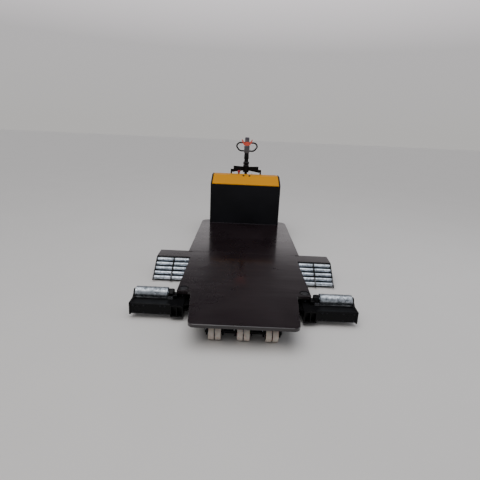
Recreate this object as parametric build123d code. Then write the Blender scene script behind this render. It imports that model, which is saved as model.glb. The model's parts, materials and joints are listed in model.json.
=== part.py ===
from build123d import *
import math
import os

# Pedestrian-steered electric tow tractor that slides a low deck under a vehicle and cradles
# the two wheels of one axle between swinging roller arms and roller ramps.
# Frame: X to the right, Y from the front tongue to the operator, Z up, floor at Z = 0,
# origin under the middle of the machine. Millimetres.

# Deck
TIP_Y = -1600.0
TONGUE_LENGTH = 449.0
NEAR_DECK_LENGTH = 885.0
FAR_DECK_LENGTH = 1274.0
TONGUE_TIP_HALF = 376.0
TONGUE_ROOT_HALF = 423.0
NEAR_HALF = 533.5
FAR_HALF = 576.0
DECK_TOP = 188.0
FRONT_PLATE = 25.0
REAR_PLATE = 12.0
TIP_RADIUS = 45.0
TIP_CHAMFER = 3.0
EAR_RADIUS = 14.0
PLATE_CHAMFER = 2.0
FAR_CORNER = 90.0
SEAM_GAP = 2.0

STEP_Y = TIP_Y + TONGUE_LENGTH
SEAM_Y = STEP_Y + NEAR_DECK_LENGTH
DECK_END_Y = SEAM_Y + FAR_DECK_LENGTH
FRONT_BOTTOM = DECK_TOP - FRONT_PLATE
REAR_BOTTOM = DECK_TOP - REAR_PLATE

# Underframe
RAIL_BOTTOM = 62.0
RAIL_WALL = 16.0
SPINE_HALF = 70.0
SPINE_WALL = 10.0
CROSS_WALL = 16.0
POCKET_DEPTH = 166.0
POCKET_HALF = 428.0
LOWER_EAR_BOTTOM = 28.0
LOWER_EAR_PLATE = 14.0

# Front load wheels
WHEEL_SETBACK = 133.0
WHEEL_RADIUS = 62.0
WHEEL_WIDTH = 43.0
WHEEL_GAP = 6.0
WHEEL_PITCH = 200.0
WHEEL_TREAD = 12.0
WHEEL_EDGE = 4.0
HUB_RECESS = 5.0
HUB_WALL = 12.0
AXLE_RADIUS = 15.0
AXLE_PROUD = 9.0
FORK_PLATE = 10.0
FORK_GAP = 6.0
FORK_BEHIND = 48.0
FORK_LIP = 26.0
FORK_DROP = 30.0
CARRIER_GAP = 8.0
CARRIER_RISE = 20.0

# Arm pivots and arms, given for the right side and measured from the pivot pin
PIN_INSET = 46.0
PIN_SETBACK = 54.0
PIN_RADIUS = 28.0
CAP_RADIUS = 36.0
CAP_THICK = 7.0
CAP_POCKET = 9.0
CAP_POCKET_RADIUS = 40.0
HUB_RADIUS = 50.0
HUB_GAP = 3.0
ARM_REACH = 388.0
ARM_ROOT_IN = 27.5
ARM_ROOT_OUT = 72.5
ARM_FACE = 166.0
ROOT_PROUD = 16.0
ROOT_DROP = 6.0
ROOT_FRAME = 10.0
ROOT_BAR = 8.0
ROOT_POCKET = 42.0
NECK_INNER = 20.0
BEAM_DEPTH = 78.0
BEAM_BOTTOM = 40.0
BEAM_HEIGHT = 88.0
BEAM_CHAMFER = 3.0
COVER_PLATE = 4.0
COVER_MARGIN = 5.0
COVER_GAP = 2.0
END_PLATE = 12.0
END_PROUD = 3.0
END_RISE = 4.0
ROLLER_RADIUS = 44.5
ROLLER_BACK = 25.0
ROLLER_HEIGHT = 154.0
ROLLER_START = 115.0
ROLLER_GAP = 5.0
ROLLER_CHAMFER = 2.5
ROLLER_DISH = 8.0
ROLLER_TUBE = 7.0
ROLLER_SPINDLE = 12.5
BEARING_START = 70.5
BEARING_END = 110.0
BEARING_RADIUS = 27.0
BEARING_WAIST = 23.0
BEARING_RING = 12.0
BEARING_FLOOR = 8.0

# Arm cylinders
CYLINDER_Z = 85.0
EYE_IN = 75.0
EYE_BACK = 84.0
EYE_RADIUS = 22.0
EYE_THICK = 24.0
EYE_SIDE_GAP = 1.0
LUG_PLATE = 12.0
LUG_ROOT = 20.0
LUG_BOSS = 4.0
BASE_X = 305.0
BASE_SETBACK = 432.0
BASE_EYE_RADIUS = 24.0
BASE_EYE_ROOM = 14.0
BARREL_RADIUS = 30.0
BARREL_BORE = 22.0
BARREL_START = 36.0
BARREL_END = 334.0
BARREL_HEAD = 12.0
BARREL_NECK = 15.0
GLAND = 14.0
GLAND_RING = 33.0
PORT_RADIUS = 9.0
PORT_HEIGHT = 38.0
ROD_RADIUS = 15.0
ROD_START = 206.0
TONGUE_NECK = 10.0
LINK_PIN_RADIUS = 10.0

# Roller ramps, given for the right side
RAMP_OUTER = 865.0
RAMP_DIVIDER = 690.0
RAMP_WALL = 8.0
RAMP_TOP_LENGTH = 176.0
RAMP_OVERLAP = 6.0
RAMP_RUN = 195.0
RAMP_FOOT_Z = 30.0
RAMP_FOOT_DROP = 12.0
RAMP_ROWS = 5
RAMP_PITCH = 49.0
RAMP_FIRST = 27.0
RAMP_PROUD = 3.0
RAMP_ROLLER = 17.5
RAMP_SPINDLE = 6.0
RAMP_SIDE_DEPTH = 46.0
RAMP_BACK_DEPTH = 60.0
RAMP_TOP_PLATE = 8.0
RAMP_END_GAP = 5.0
RAMP_TOE = 14.0

# Battery housing
BOX_ON_DECK = 151.0
BOX_SLOPE_RUN = 214.0
BOX_FLAT_RUN = 165.0
BOX_HALF = 466.0
BOX_EDGE = 17.0
BOX_SHEET = 5.0
BOX_BEND = 3.0
BOX_FRONT_Z = 731.0
LID_RISE = 91.0
LID_SHEET = 4.0
LID_GAP = 5.0
LID_LIP = 9.0
LID_FLANGE = 18.0
HINGE_RADIUS = 6.0
HINGE_PIN = 2.5
HINGE_OUT = 46.0
HINGE_LENGTH = 120.0
KNUCKLE_GAP = 3.0
BATTERY_SIDE_ROOM = 56.0
BATTERY_FRONT_ROOM = 14.0
BATTERY_REAR_ROOM = 10.0
BATTERY_TOP_ROOM = 32.0
BATTERY_STEP = 46.0

BOX_FRONT_Y = DECK_END_Y - BOX_ON_DECK
BOX_TOP_Y = BOX_FRONT_Y + BOX_SLOPE_RUN
BOX_BACK_Y = BOX_TOP_Y + BOX_FLAT_RUN
BOX_TOP_Z = BOX_FRONT_Z + LID_RISE
BATTERY_BACK_Y = BOX_BACK_Y - BATTERY_STEP

# Drive bay and steering
STEER_SETBACK = 112.0
BAY_BEHIND = 252.0
BAY_PLATE_BOTTOM = 300.0
BAY_PLATE = 18.0
BAY_CORNER = 70.0
BAY_CHAMFER = 3.0
CHEEK_INSET = 34.0
CHEEK_WALL = 12.0
CHEEK_REACH = 49.0
GUSSET_REACH = 150.0
GUSSET_DROP = 90.0
NECK_RADIUS = 85.0
NECK_ROOM = 5.0
FLANGE_RADIUS = 104.0
FLANGE_THICK = 20.0
DRIVE_WHEEL_RADIUS = 125.0
DRIVE_WHEEL_WIDTH = 76.0
DRIVE_TREAD = 20.0
DRIVE_RIM = 12.0
DRIVE_DISH = 22.0
DRIVE_AXLE = 17.0
GEAR_GAP = 6.0
GEAR_WIDTH = 34.0
GEAR_RADIUS = 60.0
GEAR_COVER = 6.0
GEAR_COVER_INSET = 16.0
GEAR_BOLTS = 6
GEAR_BOLT_RADIUS = 4.5
GEAR_BOLT_INSET = 8.0
MOTOR_RADIUS = 80.0
MOTOR_CORE = 71.0
MOTOR_RISE = 8.0
MOTOR_HEIGHT = 190.0
MOTOR_SHIELD = 16.0
MOTOR_RIBS = 24
MOTOR_RIB = 5.0
BRAKE_RADIUS = 58.0
BRAKE_HEIGHT = 14.0
TERMINAL_HALF = 28.0
TERMINAL_REACH = 98.0
TERMINAL_HEIGHT = 60.0
SHAFT_RADIUS = 20.0
COUPLING_RADIUS = 38.0
COUPLING_HEIGHT = 30.0
WING_ABOVE_LID = 66.0
WING_PLATE = 14.0
WING_END_X = 176.0
WING_ROOT_HEIGHT = 50.0
WING_TIP_HEIGHT = 85.0
BOSS_RADIUS = 42.0
BOSS_BELOW = 53.0
BOSS_ABOVE = 36.0
POST_X = 208.0
POST_WIDTH = 20.0
POST_DEPTH = 40.0
POST_GAP = 5.0
POST_BELOW = 4.0
SHOULDER_HEIGHT = 40.0
SHOULDER_INSET = 8.0

WHEEL_AXLE_Y = TIP_Y + WHEEL_SETBACK
STEER_Y = BOX_BACK_Y + STEER_SETBACK
BAY_END_Y = STEER_Y + BAY_BEHIND
BAY_TOP = BAY_PLATE_BOTTOM + BAY_PLATE
CHEEK_X = BOX_HALF - CHEEK_INSET
WING_MIDDLE = BOX_TOP_Z + WING_ABOVE_LID
BOSS_TOP = WING_MIDDLE + BOSS_ABOVE
POST_TOP = WING_MIDDLE - POST_BELOW

# Console and switches
CONSOLE_HALF = 150.0
CONSOLE_DEPTH = 56.0
CONSOLE_HEIGHT = 60.0
CONSOLE_BELOW_LID = 20.0
CONSOLE_SHEET = 3.0
CONSOLE_CORNER = 10.0
SWITCH_BACK = 27.0
STOP_X = -100.0
STOP_NECK = 38.0
STOP_NECK_RADIUS = 14.0
STOP_HEAD = 26.0
STOP_RADIUS = 20.0
STOP_ROUND = 8.0
KEY_X = 86.0
KEY_BARREL_RADIUS = 12.0
KEY_BARREL = 16.0
KEY_BOW_HALF = 9.0
KEY_BOW = 16.0
KEY_THICK = 3.0

CONSOLE_TOP = BOX_TOP_Z - CONSOLE_BELOW_LID

# Castors
CASTOR_INSET = 96.0
CASTOR_FROM_END = 148.0
CASTOR_TRAIL = 48.0
CASTOR_RADIUS = 80.0
CASTOR_WIDTH = 42.0
CASTOR_EDGE = 6.0
CASTOR_TREAD = 14.0
CASTOR_TOP = 226.0
CASTOR_PAD = 55.0
CASTOR_SWIVEL = 34.0
CASTOR_RACE = 42.0
CASTOR_RACE_HEIGHT = 14.0
CASTOR_LEG = 8.0
CASTOR_SIDE_ROOM = 4.0
CASTOR_CROWN_ROOM = 14.0
CASTOR_CROWN = 10.0
CASTOR_CROWN_REACH = 20.0
CASTOR_AXLE = 8.0
CASTOR_LEG_FOOT = 18.0
CASTOR_NUT = 3.0
KING_PIN_RADIUS = 10.0
KING_PIN_LENGTH = 40.0
KING_PIN_ROOM = 2.0

CASTOR_X = BOX_HALF - CASTOR_INSET
CASTOR_Y = BAY_END_Y - CASTOR_FROM_END

# Tiller
TILT_ABOVE_BOSS = 42.0
TILT_PIN = 8.0
TILLER_HALF = 28.0
TILLER_DEPTH = 44.0
TILLER_GROOVE = 9.0
TILLER_GROOVE_DEPTH = 4.0
TILLER_GROOVE_FOOT = 50.0
TILLER_GROOVE_ROOM = 14.0
YOKE_PLATE = 9.0
YOKE_GAP = 1.5
YOKE_BASE = 12.0
COLUMN_HEIGHT = 144.0
POD_HEIGHT = 103.0
POD_HALF = 36.0
POD_FOOT_HALF = 31.0
POD_DEPTH = 64.0
POD_FOOT_DEPTH = 54.0
POD_CORNER = 12.0
COLLAR_HEIGHT = 56.0
COLLAR_HALF = 31.0
COLLAR_DEPTH = 59.0
COLLAR_CORNER = 12.0
CAP_HEIGHT = 63.0
CAP_DEPTH = 56.0
CAP_CORNER = 12.0
CAP_CROWN = 13.0
HEAD_SHIFT = 2.0
PADDLE_FRONT = 28.0
PADDLE_THICK = 10.0
PADDLE_FOOT = 9.0
PADDLE_RISE = 90.0
PADDLE_TIP = 80.0
PADDLE_WIDTH = 15.0
LOOP_HALF = 156.0
LOOP_BELOW_COLLAR = 74.0
LOOP_HEIGHT = 116.0
LOOP_SHOULDER = 42.0
LOOP_HIP = 52.0
LOOP_BULGE = 12.0
LOOP_TUBE = 11.0
LOOP_SHOULDER_BEND = 48.0
LOOP_SIDE_BEND = 46.0
LOOP_HIP_BEND = 80.0
LOOP_BEND_SHARE = 0.48

TILT_Z = BOSS_TOP + TILT_ABOVE_BOSS
COLUMN_TOP = TILT_Z + COLUMN_HEIGHT
COLLAR_BOTTOM = COLUMN_TOP + POD_HEIGHT
COLLAR_TOP = COLLAR_BOTTOM + COLLAR_HEIGHT
LOOP_BOTTOM = COLLAR_BOTTOM - LOOP_BELOW_COLLAR
LOOP_TOP = LOOP_BOTTOM + LOOP_HEIGHT
HEAD_Y = STEER_Y + HEAD_SHIFT

# Fits
SLIDE_FIT = 0.05
FACE_GAP = 0.3
OVERLAP = 1.0

PIN_X = NEAR_HALF - PIN_INSET
PIN_Y = STEP_Y + PIN_SETBACK


def block(x0, x1, y0, y1, z0, z1):
    return Pos((x0 + x1) / 2, (y0 + y1) / 2, (z0 + z1) / 2) * Box(x1 - x0, y1 - y0, z1 - z0)


def post(x, y, z0, z1, radius):
    return Pos(x, y, (z0 + z1) / 2) * Cylinder(radius, z1 - z0)


def bar(x0, x1, y, z, radius):
    return Pos((x0 + x1) / 2, y, z) * Rot(0, 90, 0) * Cylinder(radius, x1 - x0)


def ring(x0, x1, y, z, outer, inner):
    return bar(x0, x1, y, z, outer) - bar(x0 - OVERLAP, x1 + OVERLAP, y, z, inner)


def flat_plate(points, z0, z1):
    return Pos(0, 0, z0) * extrude(Polygon(*points, align=None), z1 - z0)


def side_plate(points, x0, x1):
    return extrude(Plane.YZ.offset(x0) * Polygon(*points, align=None), x1 - x0)


def front_plate(points, y0, y1):
    return extrude(Plane.XZ.offset(-y1) * Polygon(*points, align=None), y1 - y0)


def both_sides(shape):
    return shape + mirror(shape, about=Plane.YZ)


def left_of(shape):
    return mirror(shape, about=Plane.YZ)


def rims(shape):
    return shape.edges().filter_by(GeomType.CIRCLE)


# Deck plates
def deck_front():
    half = [
        (0, TIP_Y),
        (TONGUE_TIP_HALF, TIP_Y),
        (TONGUE_ROOT_HALF, STEP_Y),
        (NEAR_HALF, STEP_Y),
        (NEAR_HALF, SEAM_Y - SEAM_GAP),
        (0, SEAM_Y - SEAM_GAP),
    ]
    plate = both_sides(flat_plate(half, FRONT_BOTTOM, DECK_TOP))
    upright = plate.edges().filter_by(Axis.Z)
    plate = fillet([e for e in upright if abs(e.center().Y - TIP_Y) < 1], TIP_RADIUS)
    upright = plate.edges().filter_by(Axis.Z)
    ears = [e for e in upright if abs(e.center().Y - STEP_Y) < 1 and abs(e.center().X) > NEAR_HALF - 1]
    plate = fillet(ears, EAR_RADIUS)
    top = [e for e in plate.edges() if abs(e.center().Z - DECK_TOP) < 0.1]
    plate = chamfer([e for e in top if e.center().Y < STEP_Y - 1], TIP_CHAMFER)
    for side in (-1, 1):
        plate -= post(side * PIN_X, PIN_Y, FRONT_BOTTOM, DECK_TOP, PIN_RADIUS)
        plate -= post(side * PIN_X, PIN_Y, DECK_TOP - CAP_POCKET, DECK_TOP + OVERLAP, CAP_POCKET_RADIUS)
    return plate


def deck_rear():
    plate = block(-FAR_HALF, FAR_HALF, SEAM_Y, DECK_END_Y, REAR_BOTTOM, DECK_TOP)
    upright = plate.edges().filter_by(Axis.Z)
    return fillet([e for e in upright if e.center().Y > DECK_END_Y - 1], FAR_CORNER)


# Everything welded under the deck
def spine():
    front = WHEEL_AXLE_Y + WHEEL_RADIUS + CARRIER_GAP + FORK_PLATE + OVERLAP
    inner = SPINE_HALF - SPINE_WALL
    beam = block(-SPINE_HALF, SPINE_HALF, front, SEAM_Y, RAIL_BOTTOM, FRONT_BOTTOM)
    beam += block(-SPINE_HALF, SPINE_HALF, SEAM_Y, BOX_FRONT_Y, RAIL_BOTTOM, REAR_BOTTOM)
    roof = FRONT_BOTTOM - SPINE_WALL
    return beam - block(-inner, inner, front - OVERLAP, BOX_FRONT_Y + OVERLAP, RAIL_BOTTOM - OVERLAP, roof)


def lower_ear():
    top = LOWER_EAR_BOTTOM + LOWER_EAR_PLATE
    tab = block(PIN_X - PIN_INSET, NEAR_HALF, PIN_Y, STEP_Y + POCKET_DEPTH, LOWER_EAR_BOTTOM, top)
    tab += post(PIN_X, PIN_Y, LOWER_EAR_BOTTOM, top, PIN_INSET)
    return tab - post(PIN_X, PIN_Y, LOWER_EAR_BOTTOM - OVERLAP, top + OVERLAP, PIN_RADIUS)


def cylinder_base():
    base_y = PIN_Y + BASE_SETBACK
    beam_y = base_y + BASE_EYE_RADIUS + BASE_EYE_ROOM
    base = block(SPINE_HALF, NEAR_HALF, beam_y, beam_y + CROSS_WALL, RAIL_BOTTOM, FRONT_BOTTOM)
    x0 = BASE_X - BASE_EYE_RADIUS
    lug = block(x0, BASE_X + BASE_EYE_RADIUS, base_y, beam_y + OVERLAP, 0, LUG_PLATE)
    lug += post(BASE_X, base_y, 0, LUG_PLATE, BASE_EYE_RADIUS)
    reach = EYE_THICK / 2 + EYE_SIDE_GAP
    base += Pos(0, 0, CYLINDER_Z + reach) * lug
    base += Pos(0, 0, CYLINDER_Z - reach - LUG_PLATE) * lug
    pin = reach + OVERLAP
    return base + post(BASE_X, base_y, CYLINDER_Z - pin, CYLINDER_Z + pin, LINK_PIN_RADIUS)


def under_frame():
    wall_y = STEP_Y + POCKET_DEPTH
    seam = SEAM_Y - CROSS_WALL
    rails = block(NEAR_HALF - RAIL_WALL, NEAR_HALF, wall_y, SEAM_Y, RAIL_BOTTOM, FRONT_BOTTOM)
    far_end = DECK_END_Y - FAR_CORNER
    rails += block(FAR_HALF - RAIL_WALL, FAR_HALF, seam, far_end, RAIL_BOTTOM, REAR_BOTTOM)
    rails += block(SPINE_HALF, FAR_HALF, seam, SEAM_Y, RAIL_BOTTOM, FRONT_BOTTOM)
    for y in ((SEAM_Y + BOX_FRONT_Y) / 2, BOX_FRONT_Y - CROSS_WALL):
        rails += block(SPINE_HALF, FAR_HALF, y, y + CROSS_WALL, RAIL_BOTTOM, REAR_BOTTOM)
    rails += block(POCKET_HALF, NEAR_HALF, wall_y, wall_y + CROSS_WALL, LOWER_EAR_BOTTOM, FRONT_BOTTOM)
    rails += lower_ear()
    rails += cylinder_base()
    return spine() + both_sides(rails)


# Fork plates on both sides of each twin wheel, on one through axle
def wheel_carrier():
    fork_x = WHEEL_GAP / 2 + WHEEL_WIDTH + FORK_GAP
    reach = WHEEL_PITCH + fork_x + FORK_PLATE
    z = WHEEL_RADIUS
    y = WHEEL_AXLE_Y
    outline = [
        (y - FORK_LIP, z),
        (y - FORK_LIP / 2, z - FORK_DROP),
        (y + FORK_LIP / 2, z - FORK_DROP),
        (y + FORK_LIP, z),
        (y + FORK_BEHIND + FORK_LIP, FRONT_BOTTOM),
        (y - FORK_BEHIND, FRONT_BOTTOM),
    ]
    pair = both_sides(side_plate(outline, fork_x, fork_x + FORK_PLATE))
    ends = reach + AXLE_PROUD
    carrier = bar(-ends, ends, y, z, AXLE_RADIUS)
    for x in (-WHEEL_PITCH, 0, WHEEL_PITCH):
        carrier += Pos(x, 0, 0) * pair
    back = y + WHEEL_RADIUS + CARRIER_GAP
    return carrier + block(-reach, reach, back, back + FORK_PLATE, RAIL_BOTTOM + CARRIER_RISE, FRONT_BOTTOM)


def twin_wheel(x):
    y = WHEEL_AXLE_Y
    z = WHEEL_RADIUS
    inner = WHEEL_GAP / 2
    outer = inner + WHEEL_WIDTH
    wheel = fillet(rims(bar(inner, outer, y, z, WHEEL_RADIUS)), WHEEL_EDGE)
    dish_outer = WHEEL_RADIUS - WHEEL_TREAD
    wheel -= ring(outer - HUB_RECESS, outer + OVERLAP, y, z, dish_outer, AXLE_RADIUS + HUB_WALL)
    wheels = both_sides(wheel)
    wheels += bar(-inner - OVERLAP, inner + OVERLAP, y, z, AXLE_RADIUS + HUB_WALL)
    wheels -= bar(-outer - OVERLAP, outer + OVERLAP, y, z, AXLE_RADIUS + SLIDE_FIT)
    return Pos(x, 0, 0) * wheels


# Arm pivots, with a cap sunk in the deck plate
def pivot_pin():
    seat = DECK_TOP - CAP_POCKET
    pin = post(PIN_X, PIN_Y, LOWER_EAR_BOTTOM, seat, PIN_RADIUS)
    cap = post(PIN_X, PIN_Y, seat, seat + CAP_THICK, CAP_RADIUS)
    return pin + chamfer(rims(cap).sort_by(Axis.Z)[-1], PLATE_CHAMFER)


# Arm in its closed pose, square to the machine
def arm_beam():
    face = PIN_Y - ARM_FACE
    back = face + COVER_PLATE + BEAM_DEPTH
    top = BEAM_BOTTOM + BEAM_HEIGHT
    x0 = PIN_X - ARM_ROOT_IN
    tip = PIN_X + ARM_REACH
    beam = block(x0, tip - END_PLATE, face + COVER_PLATE, back, BEAM_BOTTOM, top)
    beam = chamfer(beam.edges().filter_by(Axis.X), BEAM_CHAMFER)
    x1 = PIN_X + ARM_ROOT_OUT
    front = face - ROOT_PROUD
    foot = BEAM_BOTTOM - ROOT_DROP
    root = block(x0, x1, front, back, foot, top)
    middle = (x0 + x1) / 2
    for inner, outer in ((x0 + ROOT_FRAME, middle - ROOT_BAR / 2), (middle + ROOT_BAR / 2, x1 - ROOT_FRAME)):
        root -= block(
            inner, outer, front - OVERLAP, front + ROOT_POCKET, foot + ROOT_FRAME, top - ROOT_FRAME
        )
        beam -= block(
            inner, outer, front - OVERLAP, front + ROOT_POCKET, foot + ROOT_FRAME, top - ROOT_FRAME
        )
    return beam + root


def arm_end_plate():
    face = PIN_Y - ARM_FACE
    top = BEAM_BOTTOM + BEAM_HEIGHT
    y = PIN_Y - ROLLER_BACK
    z = ROLLER_HEIGHT
    r = BEARING_RADIUS
    tip = PIN_X + ARM_REACH
    outline = [
        (face - END_PROUD, BEAM_BOTTOM - END_RISE),
        (y, BEAM_BOTTOM + BEARING_RADIUS),
        (y + r, z - r),
        (y + r, z),
        (y - r, z),
        (face + COVER_PLATE + BEAM_DEPTH, top + END_RISE),
        (face - END_PROUD, top + END_RISE),
    ]
    plate = side_plate(outline, tip - END_PLATE, tip)
    return plate + bar(tip - END_PLATE, tip, y, z, r)


def arm_bearing():
    y = PIN_Y - ROLLER_BACK
    z = ROLLER_HEIGHT
    r = BEARING_RADIUS
    back = PIN_Y - ARM_FACE + COVER_PLATE + BEAM_DEPTH
    inner = PIN_X + BEARING_START
    outer = PIN_X + BEARING_END
    outline = [
        (back - OVERLAP, BEAM_BOTTOM + BEARING_FLOOR),
        (y + r, BEAM_BOTTOM + BEARING_FLOOR + ROOT_FRAME),
        (y + r, z - BEARING_FLOOR),
        (y - r, z - BEARING_FLOOR),
        (back - OVERLAP, BEAM_BOTTOM + BEAM_HEIGHT),
    ]
    bearing = side_plate(outline, inner, outer) + bar(inner, outer, y, z, BEARING_WAIST)
    for start in (inner, outer - BEARING_RING):
        bearing += bar(start, start + BEARING_RING, y, z, r)
    return bearing


def arm_lugs():
    eye_x = PIN_X - EYE_IN
    eye_y = PIN_Y - EYE_BACK
    root = PIN_X - ARM_ROOT_IN + OVERLAP
    back = PIN_Y - ARM_FACE + COVER_PLATE + BEAM_DEPTH
    neck = PIN_X - NECK_INNER + OVERLAP
    lug = flat_plate(
        [
            (eye_x - LUG_BOSS, eye_y - EYE_RADIUS),
            (root, eye_y - EYE_RADIUS - LUG_ROOT),
            (root, back),
            (neck, back),
            (neck, PIN_Y - ROLLER_BACK),
            (neck - ROOT_FRAME, PIN_Y - ROLLER_BACK),
            (eye_x - LUG_BOSS, eye_y + EYE_RADIUS),
        ],
        0,
        LUG_PLATE,
    )
    lug += post(eye_x, eye_y, 0, LUG_PLATE, EYE_RADIUS)
    lug += post(eye_x, eye_y, LUG_PLATE, LUG_PLATE + LUG_BOSS, LINK_PIN_RADIUS + LUG_BOSS)
    reach = EYE_THICK / 2 + EYE_SIDE_GAP
    return Pos(0, 0, CYLINDER_Z + reach) * lug + Pos(0, 0, CYLINDER_Z - reach) * mirror(lug, about=Plane.XY)


def arm_body():
    hub_bottom = LOWER_EAR_BOTTOM + LOWER_EAR_PLATE + HUB_GAP
    back = PIN_Y - ARM_FACE + COVER_PLATE + BEAM_DEPTH
    x1 = PIN_X + ARM_ROOT_OUT
    top = BEAM_BOTTOM + BEAM_HEIGHT
    arm = arm_beam()
    arm += post(PIN_X, PIN_Y, hub_bottom, FRONT_BOTTOM - HUB_GAP, HUB_RADIUS)
    arm += block(PIN_X - NECK_INNER, x1, back - OVERLAP, PIN_Y, hub_bottom, top)
    arm += arm_end_plate()
    arm += arm_bearing()
    start = PIN_X + BEARING_START + BEARING_FLOOR
    spindle = ROLLER_SPINDLE + SLIDE_FIT
    arm -= bar(start, PIN_X + ARM_REACH + OVERLAP, PIN_Y - ROLLER_BACK, ROLLER_HEIGHT, spindle)
    arm -= post(PIN_X, PIN_Y, 0, DECK_TOP, PIN_RADIUS + SLIDE_FIT)
    return arm + arm_lugs()


def arm_cover():
    face = PIN_Y - ARM_FACE
    x0 = PIN_X + ARM_ROOT_OUT + COVER_GAP
    x1 = PIN_X + ARM_REACH - END_PLATE - COVER_GAP
    z0 = BEAM_BOTTOM + COVER_MARGIN
    z1 = BEAM_BOTTOM + BEAM_HEIGHT - COVER_MARGIN
    cover = block(x0, x1, face, face + COVER_PLATE, z0, z1)
    return fillet(cover.edges().filter_by(Axis.Y), COVER_MARGIN)


def arm_roller():
    y = PIN_Y - ROLLER_BACK
    z = ROLLER_HEIGHT
    start = PIN_X + ROLLER_START
    end = PIN_X + ARM_REACH - END_PLATE - ROLLER_GAP
    tube = chamfer(rims(bar(start, end, y, z, ROLLER_RADIUS)), ROLLER_CHAMFER)
    inside = ROLLER_RADIUS - ROLLER_TUBE
    for face, reach in ((start, ROLLER_DISH), (end, -ROLLER_DISH)):
        x0, x1 = sorted((face - reach / ROLLER_DISH, face + reach))
        tube -= ring(x0, x1, y, z, inside, ROLLER_SPINDLE + ROLLER_TUBE)
    spindle_start = PIN_X + BEARING_START + ROOT_FRAME
    return tube + bar(spindle_start, PIN_X + ARM_REACH - COVER_GAP, y, z, ROLLER_SPINDLE)


# Arm cylinder, drawn along +X from its base pin and then laid between its two pins
def cylinder_place():
    base_y = PIN_Y + BASE_SETBACK
    eye_x = PIN_X - EYE_IN
    eye_y = PIN_Y - EYE_BACK
    length = math.hypot(eye_x - BASE_X, eye_y - base_y)
    turn = math.degrees(math.atan2(eye_y - base_y, eye_x - BASE_X))
    return Pos(BASE_X, base_y, CYLINDER_Z) * Rot(0, 0, turn), length


def cylinder_barrel():
    place = cylinder_place()[0]
    half_eye = EYE_THICK / 2
    barrel = bar(BARREL_START, BARREL_END, 0, 0, BARREL_RADIUS)
    barrel += bar(BARREL_END - GLAND, BARREL_END, 0, 0, GLAND_RING)
    barrel += post(0, 0, -half_eye, half_eye, BASE_EYE_RADIUS)
    barrel += block(0, BARREL_START, -BARREL_NECK, BARREL_NECK, -half_eye, half_eye)
    for x in (BARREL_START + BASE_EYE_RADIUS, BARREL_END - GLAND - BASE_EYE_RADIUS):
        barrel += post(x, 0, 0, PORT_HEIGHT, PORT_RADIUS)
    inside = BARREL_START + BARREL_HEAD
    barrel -= bar(inside, BARREL_END - GLAND, 0, 0, BARREL_BORE)
    barrel -= bar(inside, BARREL_END + OVERLAP, 0, 0, ROD_RADIUS + SLIDE_FIT)
    barrel -= post(0, 0, -EYE_THICK, EYE_THICK, LINK_PIN_RADIUS + SLIDE_FIT)
    return place * barrel


def cylinder_rod():
    place, length = cylinder_place()
    shoulder = length - EYE_RADIUS - TONGUE_NECK
    half_eye = EYE_THICK / 2
    rod = bar(ROD_START, shoulder, 0, 0, ROD_RADIUS)
    rod += block(shoulder - OVERLAP, length, -ROD_RADIUS, ROD_RADIUS, -half_eye, half_eye)
    rod += post(length, 0, -half_eye, half_eye, EYE_RADIUS)
    rod -= post(length, 0, -EYE_THICK, EYE_THICK, LINK_PIN_RADIUS)
    return place * rod


# Roller ramps: the rows' centres step down the slope and sink below its surface
def ramp_rows():
    top_y = SEAM_Y + RAMP_OVERLAP - RAMP_TOP_LENGTH
    foot_y = top_y - RAMP_RUN
    drop = DECK_TOP - RAMP_FOOT_Z
    slope = math.hypot(RAMP_RUN, drop)
    step = (RAMP_RUN / slope, drop / slope)
    sink = RAMP_ROLLER - RAMP_PROUD
    rows = []
    for row in range(RAMP_ROWS):
        along = RAMP_FIRST + row * RAMP_PITCH
        rows.append((top_y - step[0] * along + step[1] * sink, DECK_TOP - step[1] * along - step[0] * sink))
    return rows, top_y, foot_y, step


def ramp_frame():
    rows, top_y, foot_y, step = ramp_rows()
    far_y = top_y + RAMP_TOP_LENGTH
    toe_y = foot_y + RAMP_TOE
    toe_z = RAMP_FOOT_Z - RAMP_FOOT_DROP
    back_z = DECK_TOP - RAMP_BACK_DEPTH
    side = [
        (far_y, DECK_TOP),
        (top_y + RAMP_WALL, DECK_TOP),
        (foot_y, RAMP_FOOT_Z + RAMP_OVERLAP),
        (toe_y, toe_z),
        (toe_y + step[1] * RAMP_SIDE_DEPTH, toe_z),
        (top_y + RAMP_SIDE_DEPTH, back_z),
        (far_y, back_z),
    ]
    half_wall = RAMP_WALL / 2
    frame = side_plate(side, NEAR_HALF, NEAR_HALF + RAMP_WALL)
    frame += side_plate(side, RAMP_DIVIDER - half_wall, RAMP_DIVIDER + half_wall)
    frame += side_plate(side, RAMP_OUTER - RAMP_WALL, RAMP_OUTER)
    frame += block(NEAR_HALF, RAMP_OUTER, top_y + RAMP_WALL, far_y, DECK_TOP - RAMP_TOP_PLATE, DECK_TOP)
    frame += block(NEAR_HALF, RAMP_OUTER, far_y - RAMP_WALL, far_y, back_z, DECK_TOP)
    for y, z in rows:
        frame -= bar(NEAR_HALF + half_wall, RAMP_OUTER + OVERLAP, y, z, RAMP_SPINDLE + SLIDE_FIT)
    return frame - block(0, FAR_HALF, SEAM_Y - CROSS_WALL, far_y + OVERLAP, 0, DECK_TOP)


def ramp_row(place):
    y, z = place
    half_wall = RAMP_WALL / 2
    row = bar(NEAR_HALF + half_wall + OVERLAP, RAMP_OUTER, y, z, RAMP_SPINDLE)
    inner = NEAR_HALF + RAMP_WALL + RAMP_END_GAP
    outer = RAMP_OUTER - RAMP_WALL - RAMP_END_GAP
    row += bar(inner, RAMP_DIVIDER - half_wall - RAMP_END_GAP, y, z, RAMP_ROLLER)
    row += bar(RAMP_DIVIDER + half_wall + RAMP_END_GAP, outer, y, z, RAMP_ROLLER)
    return row


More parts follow.
